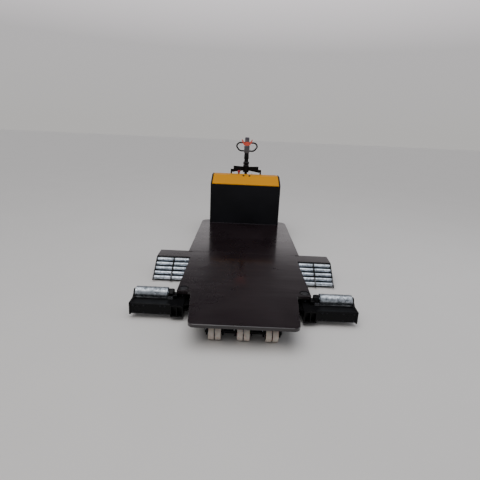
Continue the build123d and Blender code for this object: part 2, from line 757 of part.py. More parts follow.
# Battery housing
def housing_sides():
    top_in = BOX_TOP_Z - BOX_SHEET
    outer = [
        (BOX_FRONT_Y, DECK_TOP),
        (BATTERY_BACK_Y, DECK_TOP),
        (BATTERY_BACK_Y, BAY_PLATE_BOTTOM),
        (BOX_BACK_Y, BAY_PLATE_BOTTOM),
        (BOX_BACK_Y, BOX_TOP_Z),
        (BOX_TOP_Y, BOX_TOP_Z),
        (BOX_FRONT_Y, BOX_FRONT_Z),
    ]
    inner = [
        (BOX_FRONT_Y + BOX_SHEET, DECK_TOP + BOX_SHEET),
        (BATTERY_BACK_Y - BOX_SHEET, DECK_TOP + BOX_SHEET),
        (BATTERY_BACK_Y - BOX_SHEET, BAY_PLATE_BOTTOM + BOX_SHEET),
        (BOX_BACK_Y - BOX_SHEET, BAY_PLATE_BOTTOM + BOX_SHEET),
        (BOX_BACK_Y - BOX_SHEET, top_in),
        (BOX_TOP_Y, top_in),
        (BOX_FRONT_Y + BOX_SHEET, BOX_FRONT_Z - BOX_SHEET),
    ]
    panel = side_plate(outer, BOX_HALF - BOX_EDGE, BOX_HALF)
    face = panel.faces().sort_by(Axis.X)[-1]
    bends = [e for e in face.edges() if e.center().Z > BAY_PLATE_BOTTOM + 1]
    panel = fillet(bends, BOX_BEND)
    panel -= side_plate(inner, BOX_HALF - BOX_EDGE - OVERLAP, BOX_HALF - BOX_SHEET)
    return both_sides(panel)


def housing_front():
    half = BOX_HALF - BOX_EDGE
    y = BOX_FRONT_Y + OVERLAP
    return block(-half, half, y, y + BOX_SHEET, DECK_TOP, BOX_FRONT_Z - LID_LIP - LID_GAP)


def hinge_ends():
    outer = BOX_HALF - HINGE_OUT
    return outer - HINGE_LENGTH, outer


def housing_rear():
    half = BOX_HALF - BOX_EDGE
    back = BOX_BACK_Y
    top = BOX_TOP_Z - 2 * HINGE_RADIUS - KNUCKLE_GAP
    y = back - HINGE_RADIUS
    z = BOX_TOP_Z - HINGE_RADIUS
    inner, outer = hinge_ends()
    knuckle = bar(inner, outer, y, z, HINGE_RADIUS)
    knuckle += block(inner, outer, back - BOX_SHEET, back, top - OVERLAP, z)
    panel = block(-half, half, back - BOX_SHEET, back, BAY_TOP, top)
    return panel + both_sides(knuckle) + bar(-outer, outer, y, z, HINGE_PIN)


def lid():
    half = BOX_HALF - BOX_EDGE - LID_GAP
    hinge_y = BOX_BACK_Y - HINGE_RADIUS
    hinge_z = BOX_TOP_Z - HINGE_RADIUS
    lip_z = BOX_FRONT_Z - LID_LIP
    outline = [
        (hinge_y, BOX_TOP_Z),
        (BOX_TOP_Y, BOX_TOP_Z),
        (BOX_FRONT_Y, BOX_FRONT_Z),
        (BOX_FRONT_Y, lip_z),
        (BOX_FRONT_Y + LID_SHEET, lip_z),
        (BOX_FRONT_Y + LID_SHEET, BOX_FRONT_Z - HINGE_PIN),
        (BOX_TOP_Y + OVERLAP, BOX_TOP_Z - LID_SHEET),
        (hinge_y, BOX_TOP_Z - LID_SHEET),
    ]
    panel = side_plate(outline, -half, half)
    bend = [e for e in panel.edges().filter_by(Axis.X) if abs(e.center().Z - BOX_FRONT_Z) < 0.1]
    panel = fillet(bend, LID_SHEET)
    flange_start = BOX_FRONT_Y + OVERLAP + BOX_SHEET + LID_GAP
    flange_end = hinge_y - 2 * HINGE_RADIUS
    start_z = BOX_FRONT_Z + (flange_start - BOX_FRONT_Y) * LID_RISE / BOX_SLOPE_RUN
    flange = [
        (flange_start, start_z - LID_SHEET),
        (BOX_TOP_Y, BOX_TOP_Z - LID_SHEET / 2),
        (flange_end, BOX_TOP_Z - LID_SHEET / 2),
        (flange_end, BOX_TOP_Z - LID_FLANGE),
        (BOX_TOP_Y, BOX_TOP_Z - LID_FLANGE),
        (flange_start, start_z - LID_FLANGE),
    ]
    panel += both_sides(side_plate(flange, half - LID_SHEET, half))
    inner = hinge_ends()[0] - KNUCKLE_GAP
    notch_y = hinge_y - HINGE_RADIUS - KNUCKLE_GAP
    panel -= both_sides(block(inner, half + OVERLAP, notch_y, hinge_y + OVERLAP, lip_z, BOX_TOP_Z + OVERLAP))
    panel += bar(-inner, inner, hinge_y, hinge_z, HINGE_RADIUS)
    return panel - bar(-inner - OVERLAP, inner + OVERLAP, hinge_y, hinge_z, HINGE_PIN + SLIDE_FIT)


def battery():
    half = BOX_HALF - BATTERY_SIDE_ROOM
    front = BOX_FRONT_Y + BATTERY_FRONT_ROOM
    back = BATTERY_BACK_Y - BATTERY_REAR_ROOM
    return block(-half, half, front, back, DECK_TOP, BOX_FRONT_Z - BATTERY_TOP_ROOM)


# Rear frame that carries the drive unit and the castors
def rear_frame():
    half = BOX_HALF
    start = BATTERY_BACK_Y + BOX_SHEET
    outline = [
        (0, start),
        (half, start),
        (half, BAY_END_Y - BAY_CORNER),
        (half - BAY_CORNER, BAY_END_Y),
        (0, BAY_END_Y),
    ]
    plate = both_sides(flat_plate(outline, BAY_PLATE_BOTTOM, BAY_TOP))
    rim = [e for e in plate.faces().sort_by(Axis.Z)[-1].edges() if e.center().Y > BOX_BACK_Y]
    plate = chamfer(rim, BAY_CHAMFER)
    plate -= block(-half - OVERLAP, half + OVERLAP, start - OVERLAP, BOX_BACK_Y, 0, BAY_TOP + OVERLAP)
    cheek_end = BOX_BACK_Y + CHEEK_REACH
    cheek = [
        (DECK_END_Y, RAIL_BOTTOM),
        (cheek_end, RAIL_BOTTOM),
        (cheek_end, BAY_PLATE_BOTTOM - GUSSET_DROP),
        (cheek_end + GUSSET_REACH / 2, BAY_PLATE_BOTTOM + OVERLAP),
        (DECK_END_Y, BAY_PLATE_BOTTOM + OVERLAP),
    ]
    frame = plate + both_sides(side_plate(cheek, CHEEK_X, CHEEK_X + CHEEK_WALL))
    frame += block(-CHEEK_X, CHEEK_X, DECK_END_Y, BATTERY_BACK_Y - BOX_SHEET, REAR_BOTTOM, DECK_TOP)
    frame -= post(0, STEER_Y, BAY_PLATE_BOTTOM - OVERLAP, BAY_TOP + OVERLAP, NECK_RADIUS + NECK_ROOM)
    pad = block(-CASTOR_PAD, CASTOR_PAD, -CASTOR_PAD, CASTOR_PAD, CASTOR_TOP, BAY_PLATE_BOTTOM)
    frame += both_sides(Pos(CASTOR_X, CASTOR_Y, 0) * pad)
    king_top = CASTOR_TOP + KING_PIN_LENGTH + KING_PIN_ROOM
    king = post(CASTOR_X, CASTOR_Y, CASTOR_TOP - OVERLAP, king_top, KING_PIN_RADIUS + SLIDE_FIT)
    return frame - both_sides(king)


def tiller_bridge():
    half = POST_WIDTH / 2
    y0 = BOX_BACK_Y + POST_GAP
    y1 = y0 + POST_DEPTH
    inset = SHOULDER_INSET
    side = block(POST_X - half, POST_X + half, y0, y1, BAY_TOP, POST_TOP)
    foot = WING_END_X - LID_SHEET
    side += block(foot, POST_X + half, y0 + inset, y1 - inset, POST_TOP - SHOULDER_HEIGHT, POST_TOP)
    length = math.hypot(WING_END_X, (y0 + y1) / 2 - STEER_Y)
    turn = math.degrees(math.atan2((y0 + y1) / 2 - STEER_Y, WING_END_X))
    outline = [
        (0, WING_MIDDLE - WING_ROOT_HEIGHT / 2),
        (length, WING_MIDDLE - WING_TIP_HEIGHT / 2),
        (length, WING_MIDDLE + WING_TIP_HEIGHT / 2),
        (0, WING_MIDDLE + WING_ROOT_HEIGHT / 2),
    ]
    side += Pos(0, STEER_Y, 0) * Rot(0, 0, turn) * front_plate(outline, -WING_PLATE / 2, WING_PLATE / 2)
    boss_bottom = WING_MIDDLE - BOSS_BELOW
    bridge = post(0, STEER_Y, boss_bottom, BOSS_TOP, BOSS_RADIUS) + both_sides(side)
    return bridge - post(0, STEER_Y, boss_bottom - OVERLAP, BOSS_TOP + OVERLAP, SHAFT_RADIUS + SLIDE_FIT)


# Console behind the lid, with the switches
def console():
    y = BOX_BACK_Y
    foot = CONSOLE_TOP - CONSOLE_HEIGHT
    half = CONSOLE_HALF
    wall = CONSOLE_SHEET
    outer = block(-half, half, y, y + CONSOLE_DEPTH, foot, CONSOLE_TOP)
    upright = outer.edges().filter_by(Axis.Z)
    outer = fillet([e for e in upright if e.center().Y > y + 1], CONSOLE_CORNER)
    back = y + CONSOLE_DEPTH - wall
    return outer - block(wall - half, half - wall, y + wall, back, foot - OVERLAP, CONSOLE_TOP - wall)


def emergency_stop():
    y = BOX_BACK_Y + SWITCH_BACK
    neck_top = CONSOLE_TOP + STOP_NECK
    stop = post(STOP_X, y, CONSOLE_TOP, neck_top, STOP_NECK_RADIUS)
    head = post(STOP_X, y, neck_top, neck_top + STOP_HEAD, STOP_RADIUS)
    return stop + fillet(rims(head).sort_by(Axis.Z)[-1], STOP_ROUND)


def key_switch():
    y = BOX_BACK_Y + SWITCH_BACK
    top = CONSOLE_TOP + KEY_BARREL
    barrel = post(KEY_X, y, CONSOLE_TOP, top, KEY_BARREL_RADIUS)
    half = KEY_THICK / 2
    bow = block(KEY_X - half, KEY_X + half, y - KEY_BOW_HALF, y + KEY_BOW_HALF, top - OVERLAP, top + KEY_BOW)
    return barrel + bow


# Drive unit, turning with the tiller
def drive_unit():
    z = DRIVE_WHEEL_RADIUS
    crown = 2 * DRIVE_WHEEL_RADIUS + 2 * GEAR_GAP
    seat = BAY_TOP + FACE_GAP
    unit = post(0, STEER_Y, crown, seat + OVERLAP, NECK_RADIUS)
    unit += post(0, STEER_Y, seat, seat + FLANGE_THICK, FLANGE_RADIUS)
    inner = DRIVE_WHEEL_WIDTH / 2 + GEAR_GAP
    outer = inner + GEAR_WIDTH
    case = bar(inner, outer, STEER_Y, z, GEAR_RADIUS)
    case += block(inner, outer, STEER_Y - GEAR_RADIUS, STEER_Y + GEAR_RADIUS, z, crown + OVERLAP)
    case += bar(outer - OVERLAP, outer + GEAR_COVER, STEER_Y, z, GEAR_RADIUS - GEAR_COVER_INSET)
    for number in range(GEAR_BOLTS):
        turn = math.radians(360 / GEAR_BOLTS * number)
        reach = GEAR_RADIUS - GEAR_BOLT_INSET
        y = STEER_Y + reach * math.cos(turn)
        case += bar(outer - OVERLAP, outer + GEAR_COVER, y, z + reach * math.sin(turn), GEAR_BOLT_RADIUS)
    unit += case
    axle_end = DRIVE_DISH - DRIVE_WHEEL_WIDTH / 2 - GEAR_COVER
    return unit + bar(axle_end, inner + OVERLAP, STEER_Y, z, DRIVE_AXLE)


def drive_wheel():
    half = DRIVE_WHEEL_WIDTH / 2
    z = DRIVE_WHEEL_RADIUS
    wheel = fillet(rims(bar(-half, half, STEER_Y, z, z)), CASTOR_EDGE)
    wheel -= bar(-half - OVERLAP, DRIVE_DISH - half, STEER_Y, z, z - DRIVE_TREAD - DRIVE_RIM)
    return wheel - bar(-half - OVERLAP, half + OVERLAP, STEER_Y, z, DRIVE_AXLE + SLIDE_FIT)


# Traction motor with cooling ribs, its terminal box towards the operator and its brake on top
def motor_levels():
    foot = BAY_TOP + FACE_GAP + FLANGE_THICK
    bottom = foot + MOTOR_RISE
    return foot, bottom, bottom + MOTOR_HEIGHT


def drive_motor():
    foot, bottom, top = motor_levels()
    motor = post(0, STEER_Y, bottom, top, MOTOR_CORE)
    rib = block(0, MOTOR_RADIUS - OVERLAP, -MOTOR_RIB / 2, MOTOR_RIB / 2, bottom, top)
    for number in range(MOTOR_RIBS):
        motor += Pos(0, STEER_Y, 0) * Rot(0, 0, 360 / MOTOR_RIBS * number) * rib
    for level in (bottom, top - MOTOR_SHIELD):
        motor += post(0, STEER_Y, level, level + MOTOR_SHIELD, MOTOR_RADIUS)
    motor += post(0, STEER_Y, foot, bottom + OVERLAP, MOTOR_CORE)
    middle = (bottom + top) / 2
    half = TERMINAL_HEIGHT / 2
    end = STEER_Y + TERMINAL_REACH
    motor += block(-TERMINAL_HALF, TERMINAL_HALF, STEER_Y, end, middle - half, middle + half)
    return motor + post(0, STEER_Y, top - OVERLAP, top + BRAKE_HEIGHT, BRAKE_RADIUS)


def steering_shaft():
    foot = motor_levels()[2] + BRAKE_HEIGHT
    head = BOSS_TOP + FACE_GAP
    shaft = post(0, STEER_Y, foot, head + YOKE_BASE, SHAFT_RADIUS)
    shaft += post(0, STEER_Y, foot, foot + COUPLING_HEIGHT, COUPLING_RADIUS)
    shaft += post(0, STEER_Y, head, head + YOKE_BASE, BOSS_RADIUS - COVER_GAP)
    inner = TILLER_HALF + YOKE_GAP
    depth = TILLER_DEPTH / 2
    outer = inner + YOKE_PLATE
    cheek = block(inner, outer, STEER_Y - depth, STEER_Y + depth, head + COVER_GAP, TILT_Z)
    cheek += bar(inner, outer, STEER_Y, TILT_Z, depth)
    shaft += both_sides(cheek)
    return shaft + bar(-inner - OVERLAP, inner + OVERLAP, STEER_Y, TILT_Z, TILT_PIN)


# Castors
def castor_fork(side):
    x = side * CASTOR_X
    y = CASTOR_Y + CASTOR_TRAIL
    inner = CASTOR_WIDTH / 2 + CASTOR_SIDE_ROOM
    outer = inner + CASTOR_LEG
    crown = 2 * CASTOR_RADIUS + CASTOR_CROWN_ROOM
    under = crown - CASTOR_LEG
    fork = post(x, CASTOR_Y, crown, CASTOR_TOP - FACE_GAP, CASTOR_SWIVEL)
    fork += post(x, CASTOR_Y, crown + CASTOR_CROWN, crown + CASTOR_CROWN + CASTOR_RACE_HEIGHT, CASTOR_RACE)
    fork += post(x, CASTOR_Y, crown, CASTOR_TOP + KING_PIN_LENGTH, KING_PIN_RADIUS)
    fork += block(x - outer, x + outer, CASTOR_Y - CASTOR_SWIVEL, y + CASTOR_CROWN_REACH, under, crown + 2)
    foot_z = CASTOR_RADIUS - CASTOR_LEG_FOOT
    leg = side_plate(
        [
            (CASTOR_Y - CASTOR_SWIVEL, crown),
            (y - CASTOR_LEG_FOOT, foot_z),
            (y + CASTOR_LEG_FOOT, foot_z),
            (y + CASTOR_CROWN_REACH, crown),
        ],
        inner,
        outer,
    )
    fork += Pos(x, 0, 0) * both_sides(leg)
    ends = outer + CASTOR_NUT
    return fork + bar(x - ends, x + ends, y, CASTOR_RADIUS, CASTOR_AXLE)


def castor_wheel(side):
    x = side * CASTOR_X
    y = CASTOR_Y + CASTOR_TRAIL
    half = CASTOR_WIDTH / 2
    z = CASTOR_RADIUS
    wheel = fillet(rims(bar(x - half, x + half, y, z, z)), CASTOR_EDGE)
    for x0, x1 in ((x - half - OVERLAP, x - half + HUB_RECESS), (x + half - HUB_RECESS, x + half + OVERLAP)):
        wheel -= ring(x0, x1, y, z, z - CASTOR_TREAD, CASTOR_AXLE + HUB_WALL)
    return wheel - bar(x - half - OVERLAP, x + half + OVERLAP, y, z, CASTOR_AXLE + SLIDE_FIT)


# Tiller: a cast column with a groove down its front and back, and the head on top
def tiller_column():
    depth = TILLER_DEPTH / 2
    column = block(-TILLER_HALF, TILLER_HALF, STEER_Y - depth, STEER_Y + depth, TILT_Z, COLUMN_TOP)
    column += bar(-TILLER_HALF, TILLER_HALF, STEER_Y, TILT_Z, depth)
    foot = TILT_Z + TILLER_GROOVE_FOOT
    top = COLUMN_TOP - TILLER_GROOVE_ROOM
    bottom = depth - TILLER_GROOVE_DEPTH
    groove = block(-TILLER_GROOVE, TILLER_GROOVE, bottom, depth + OVERLAP, foot, top)
    groove = fillet(groove.edges().filter_by(Axis.Y), TILLER_GROOVE / 2)
    column -= Pos(0, STEER_Y, 0) * (groove + mirror(groove, about=Plane.XZ))
    return column - bar(-TILLER_HALF - OVERLAP, TILLER_HALF + OVERLAP, STEER_Y, TILT_Z, TILT_PIN + SLIDE_FIT)


def tiller_head():
    foot = Pos(0, HEAD_Y, COLUMN_TOP) * RectangleRounded(2 * POD_FOOT_HALF, POD_FOOT_DEPTH, POD_CORNER)
    brow = Pos(0, HEAD_Y, COLLAR_BOTTOM) * RectangleRounded(2 * POD_HALF, POD_DEPTH, POD_CORNER)
    pod = loft([foot, brow])
    half = COLLAR_HALF
    depth = CAP_DEPTH / 2
    cap = block(-half, half, HEAD_Y - depth, HEAD_Y + depth, COLLAR_TOP, COLLAR_TOP + CAP_HEIGHT)
    cap = fillet(cap.edges().filter_by(Axis.Z), CAP_CORNER)
    crown = cap.faces().sort_by(Axis.Z)[-1].edges()
    return pod + fillet(crown, CAP_CROWN)


# Collar between pod and cap, with the two travel paddles on its front
def tiller_collar():
    depth = COLLAR_DEPTH / 2
    y = HEAD_Y
    collar = block(-COLLAR_HALF, COLLAR_HALF, y - depth, y + depth, COLLAR_BOTTOM, COLLAR_TOP)
    collar = fillet(collar.edges().filter_by(Axis.Z), COLLAR_CORNER)
    foot = COLLAR_BOTTOM + PADDLE_FOOT
    paddle = front_plate(
        [
            (0, foot),
            (COLLAR_HALF + PADDLE_WIDTH, foot),
            (PADDLE_TIP, COLLAR_BOTTOM + PADDLE_RISE - PADDLE_FOOT),
            (PADDLE_TIP - PADDLE_WIDTH / 2, COLLAR_BOTTOM + PADDLE_RISE),
            (PADDLE_TIP - PADDLE_WIDTH, COLLAR_BOTTOM + PADDLE_RISE - PADDLE_FOOT / 2),
            (COLLAR_HALF - PADDLE_FOOT, foot + PADDLE_THICK),
            (0, foot + PADDLE_THICK),
        ],
        STEER_Y - PADDLE_FRONT,
        STEER_Y - PADDLE_FRONT + PADDLE_THICK,
    )
    return collar + both_sides(paddle)


# Largest bend that a corner's shorter run leaves room for, up to the wanted one
def bend_at(before, corner, after, wanted):
    first = Vector(*corner) - Vector(*before)
    second = Vector(*after) - Vector(*corner)
    half_turn = math.radians(first.get_angle(second)) / 2
    room = LOOP_BEND_SHARE * min(first.length, second.length)
    return min(wanted, room / math.tan(half_turn))


def tiller_loop():
    z_mid = (LOOP_TOP + LOOP_BOTTOM) / 2
    points = [
        (COLLAR_HALF, HEAD_Y, LOOP_TOP),
        (LOOP_HALF - LOOP_SHOULDER, HEAD_Y, LOOP_TOP),
        (LOOP_HALF, HEAD_Y, z_mid + LOOP_BULGE),
        (LOOP_HALF - LOOP_HIP, HEAD_Y, LOOP_BOTTOM),
        (POD_HALF - OVERLAP, HEAD_Y, LOOP_BOTTOM),
    ]
    wanted = (LOOP_SHOULDER_BEND, LOOP_SIDE_BEND, LOOP_HIP_BEND)
    bends = [bend_at(*points[i : i + 3], wanted[i]) for i in range(len(wanted))]
    path = FilletPolyline(*points, radius=bends)
    section = Plane(origin=path @ 0, z_dir=path % 0) * Circle(LOOP_TUBE)
    loop = both_sides(sweep(section, path=path))
    return loop - tiller_head()


def export_all():
    os.makedirs("parts", exist_ok=True)
    shapes = {
        "deck_front": deck_front(),
        "deck_rear": deck_rear(),
        "under_frame": under_frame(),
        "wheel_carrier": wheel_carrier(),
        "front_wheels_left": twin_wheel(-WHEEL_PITCH),
        "front_wheels_middle": twin_wheel(0),
        "front_wheels_right": twin_wheel(WHEEL_PITCH),
        "housing_front": housing_front(),
        "housing_sides": housing_sides(),
        "housing_rear": housing_rear(),
        "lid": lid(),
        "battery": battery(),
        "rear_frame": rear_frame(),
        "tiller_bridge": tiller_bridge(),
        "console": console(),
        "emergency_stop": emergency_stop(),
        "key_switch": key_switch(),
        "drive_unit": drive_unit(),
        "drive_wheel": drive_wheel(),
        "drive_motor": drive_motor(),
        "steering_shaft": steering_shaft(),
        "tiller_column": tiller_column(),
        "tiller_head": tiller_head(),
        "tiller_collar": tiller_collar(),
        "tiller_loop": tiller_loop(),
        "castor_fork_right": castor_fork(1),
        "castor_fork_left": castor_fork(-1),
        "castor_wheel_right": castor_wheel(1),
        "castor_wheel_left": castor_wheel(-1),
    }
    right_hand = {
        "pivot_pin_{}": pivot_pin(),
        "arm_{}": arm_body(),
        "arm_cover_{}": arm_cover(),
        "arm_roller_{}": arm_roller(),
        "cylinder_barrel_{}": cylinder_barrel(),
        "cylinder_rod_{}": cylinder_rod(),
        "ramp_frame_{}": ramp_frame(),
    }
    for number, place in enumerate(ramp_rows()[0], start=1):
        right_hand["ramp_rollers_{}_" + str(number)] = ramp_row(place)
    for name, shape in right_hand.items():
        shapes[name.format("right")] = shape
        shapes[name.format("left")] = left_of(shape)
    for name, shape in shapes.items():
        export_step(shape, f"parts/{name}.step")


export_all()
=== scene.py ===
import json
import math

import bmesh
import bpy
from bpy.props import FloatProperty, FloatVectorProperty, IntProperty, PointerProperty
from bpy.types import Operator, Panel, PropertyGroup
from mathutils import Euler, Matrix, Vector

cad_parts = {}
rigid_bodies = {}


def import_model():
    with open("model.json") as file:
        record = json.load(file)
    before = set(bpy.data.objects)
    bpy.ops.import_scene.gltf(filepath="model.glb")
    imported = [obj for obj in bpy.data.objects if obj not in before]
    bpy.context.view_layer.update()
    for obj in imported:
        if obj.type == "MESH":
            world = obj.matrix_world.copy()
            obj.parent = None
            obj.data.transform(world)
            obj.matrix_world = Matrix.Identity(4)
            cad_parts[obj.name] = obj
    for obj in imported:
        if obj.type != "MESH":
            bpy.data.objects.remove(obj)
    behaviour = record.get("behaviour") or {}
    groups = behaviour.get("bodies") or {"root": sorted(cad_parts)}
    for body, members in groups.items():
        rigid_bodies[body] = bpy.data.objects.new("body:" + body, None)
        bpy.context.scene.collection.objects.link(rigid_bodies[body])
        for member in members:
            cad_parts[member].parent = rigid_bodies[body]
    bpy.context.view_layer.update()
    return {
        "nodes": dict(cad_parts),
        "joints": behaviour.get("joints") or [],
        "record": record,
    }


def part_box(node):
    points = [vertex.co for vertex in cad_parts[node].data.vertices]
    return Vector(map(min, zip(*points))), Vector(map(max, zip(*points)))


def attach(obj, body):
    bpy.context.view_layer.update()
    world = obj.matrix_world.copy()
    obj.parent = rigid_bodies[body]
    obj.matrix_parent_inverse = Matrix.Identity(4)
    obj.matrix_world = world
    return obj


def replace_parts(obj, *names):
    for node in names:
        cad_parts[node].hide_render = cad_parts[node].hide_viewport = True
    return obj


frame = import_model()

bl_info = {
    "name": "Tow Tractor Finish",
    "version": (1, 0, 0),
    "blender": (4, 5, 0),
    "location": "3D View > Sidebar > Tractor",
    "description": "Finishes and small parts of a low deck tow tractor with wheel arms",
    "category": "Object",
}

SIDES = {"left": -1, "right": 1}
FRONT_WHEELS = ("left", "middle", "right")
MM = 0.001
UP = (0, 0, 1)
ALONG = (1, 0, 0)
TO_FRONT = (0, -1, 0)
TO_BACK = (0, 1, 0)

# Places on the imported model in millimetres, from its middle, the floor or the joint that is named

FORK_FACE = 62
COVER_SCREWS = (40, 75, 201, 284)
COVER_PLUG = (250, 86)
ROLLER_TUBE = 256
ARM_TIP = 374
ARM_BACK = 84
ROD_EYE = (75, 114)
BEARING_MIDDLE = 24.75
ROLLER_ENDS = ((546.5, -1), (681, 1), (699, -1), (852, 1))
SPINDLE_END = 864
RAMP_RAILS = ((859.5, 11), (690, 15), (539, 11))
# Spans across of the dark sheets under the rollers, which are painted shade
RAMP_SHADE_SHEETS = ((541.5, 686), (694, 857))
RAMP_FOOT = 534.5
DECK_UNDERSIDE = 176
SPINE_FACE = 70
SIDE_RAIL_FACE = 560
SPINE_START = -1380
POST_FACES = (198, 218)
POST_TOP = 318
LID_FOOT = 731
LID_RISE = 91
LID_RUN = 214
BUFFER_BACK = 202
HINGE_SCREWS = (318, 360, 402)
FLANGE_TOP = 338.3
TERMINAL_MIDDLE = 441.3
CASTOR_SEAL = 189


def linear(hex_colour):
    """An sRGB hex colour as linear red, green and blue."""
    values = [int(hex_colour[i : i + 2], 16) / 255 for i in (1, 3, 5)]
    return tuple(v / 12.92 if v <= 0.04045 else ((v + 0.055) / 1.055) ** 2.4 for v in values)


# Settings


def colour_setting(name, description, value):
    """A colour that a user may change, from its sRGB hex value."""
    return FloatVectorProperty(name=name, description=description, subtype="COLOR", default=linear(value))


class TractorColours(PropertyGroup):
    deck: colour_setting("Deck", "Gloss enamel of the deck plates", "#12090C")
    frame: colour_setting("Frame", "Satin enamel of the underframe and arms", "#070708")
    housing: colour_setting("Housing", "Powder coat of the battery box", "#09090C")
    lid: colour_setting("Lid", "Powder coat of the battery lid", "#C48300")
    tread: colour_setting("Wheel treads", "Cast polyurethane of the wheels", "#BDB3A8")
    head: colour_setting("Tiller head", "Moulded shell of the tiller head", "#4B4A4D")
    paddle: colour_setting("Paddles", "Moulded collar and travel paddles", "#CF4A35")
    stop: colour_setting("Stop button", "Cap of the emergency stop", "#9A181E")


class TractorSizes(PropertyGroup):
    screw_radius: FloatProperty(
        name="Screw head", description="Radius of the cover screws' heads",
        unit="LENGTH", default=0.0065, min=0.003,
    )
    bolt_radius: FloatProperty(
        name="Bolt head", description="Radius of the hexagon bolts' heads",
        unit="LENGTH", default=0.009, min=0.004,
    )
    bead_radius: FloatProperty(
        name="Weld bead", description="Radius of the fillet welds",
        unit="LENGTH", default=0.005, min=0.002,
    )
    wheel_steps: IntProperty(
        name="Wheel steps", description="Facets round each wheel",
        default=72, min=24, max=160,
    )


class TractorStage(PropertyGroup):
    lens: FloatProperty(
        name="Lens", description="Focal length on a 36 mm sensor",
        unit="CAMERA", default=25.08, min=10,
    )
    height: FloatProperty(name="Camera height", description="Above the floor", unit="LENGTH", default=1.45)
    distance: FloatProperty(
        name="Camera distance", description="From the machine's middle",
        unit="LENGTH", default=3.552,
    )
    dip: FloatProperty(
        name="Camera dip", description="Angle below level",
        subtype="ANGLE", default=math.radians(14.26),
    )
    tilt: FloatProperty(
        name="Camera tilt", description="Roll of the hand-held camera",
        subtype="ANGLE", default=math.radians(2.55),
    )
    floor: colour_setting("Floor", "Plain studio floor", "#C9C7C3")


# Materials


def rgba(colour):
    """A hex colour, or a linear one from the settings, as a node's colour."""
    return (*(linear(colour) if isinstance(colour, str) else colour), 1)


def per_metre(size_mm):
    """A pattern's scale on Object coordinates from the size of its grain in millimetres."""
    return 1000 / size_mm


def feed(node, links):
    """Links each source to the node's socket of that name. A node stands for its first open output."""
    for name, source in links.items():
        if isinstance(source, bpy.types.Node):
            source = next(socket for socket in source.outputs if socket.enabled)
        node.id_data.links.new(source, node.inputs[name])


def add_node(tree, kind, inputs=None, links=None, **settings):
    """Adds a shader node with its settings, its values and the sockets that feed it."""
    node = tree.nodes.new("ShaderNode" + kind)
    for name, value in settings.items():
        setattr(node, name, value)
    for name, value in (inputs or {}).items():
        node.inputs[name].default_value = value
    feed(node, links or {})
    return node


def start_finish(name, values):
    """A new material with its shader's values and the Object coordinates of the piece."""
    material = bpy.data.materials.new(name)
    material.use_nodes = True
    tree = material.node_tree
    tree.nodes.clear()
    shader = add_node(tree, "BsdfPrincipled", values)
    add_node(tree, "OutputMaterial", links={"Surface": shader})
    return material, tree, shader, add_node(tree, "TexCoord").outputs["Object"]


def edge_wear_and_highlight_mask(tree, place, radius_mm, amount):
    """A mask that is high along the edges, for worn paint and scuffs and, where the caller asks, a painted
    highlight, and the normal with those edges broken.
    """
    broken = add_node(tree, "Bevel", {"Radius": radius_mm * MM}, samples=4)
    flat = add_node(tree, "NewGeometry")
    normals = {0: broken, 1: flat.outputs["Normal"]}
    turn = add_node(tree, "VectorMath", links=normals, operation="DOT_PRODUCT")
    span = {"From Min": 0.995, "From Max": 0.86, "To Max": amount}
    edge = add_node(tree, "MapRange", span, {"Value": turn})
    grain = {"Scale": per_metre(9), "Detail": 5.0, "Roughness": 0.7}
    chips = add_node(tree, "TexNoise", grain, {"Vector": place})
    gate = add_node(tree, "MapRange", {"From Min": 0.42, "From Max": 0.62}, {"Value": chips})
    mask = add_node(tree, "Math", links={0: edge, 1: gate}, operation="MULTIPLY", use_clamp=True)
    return mask, broken


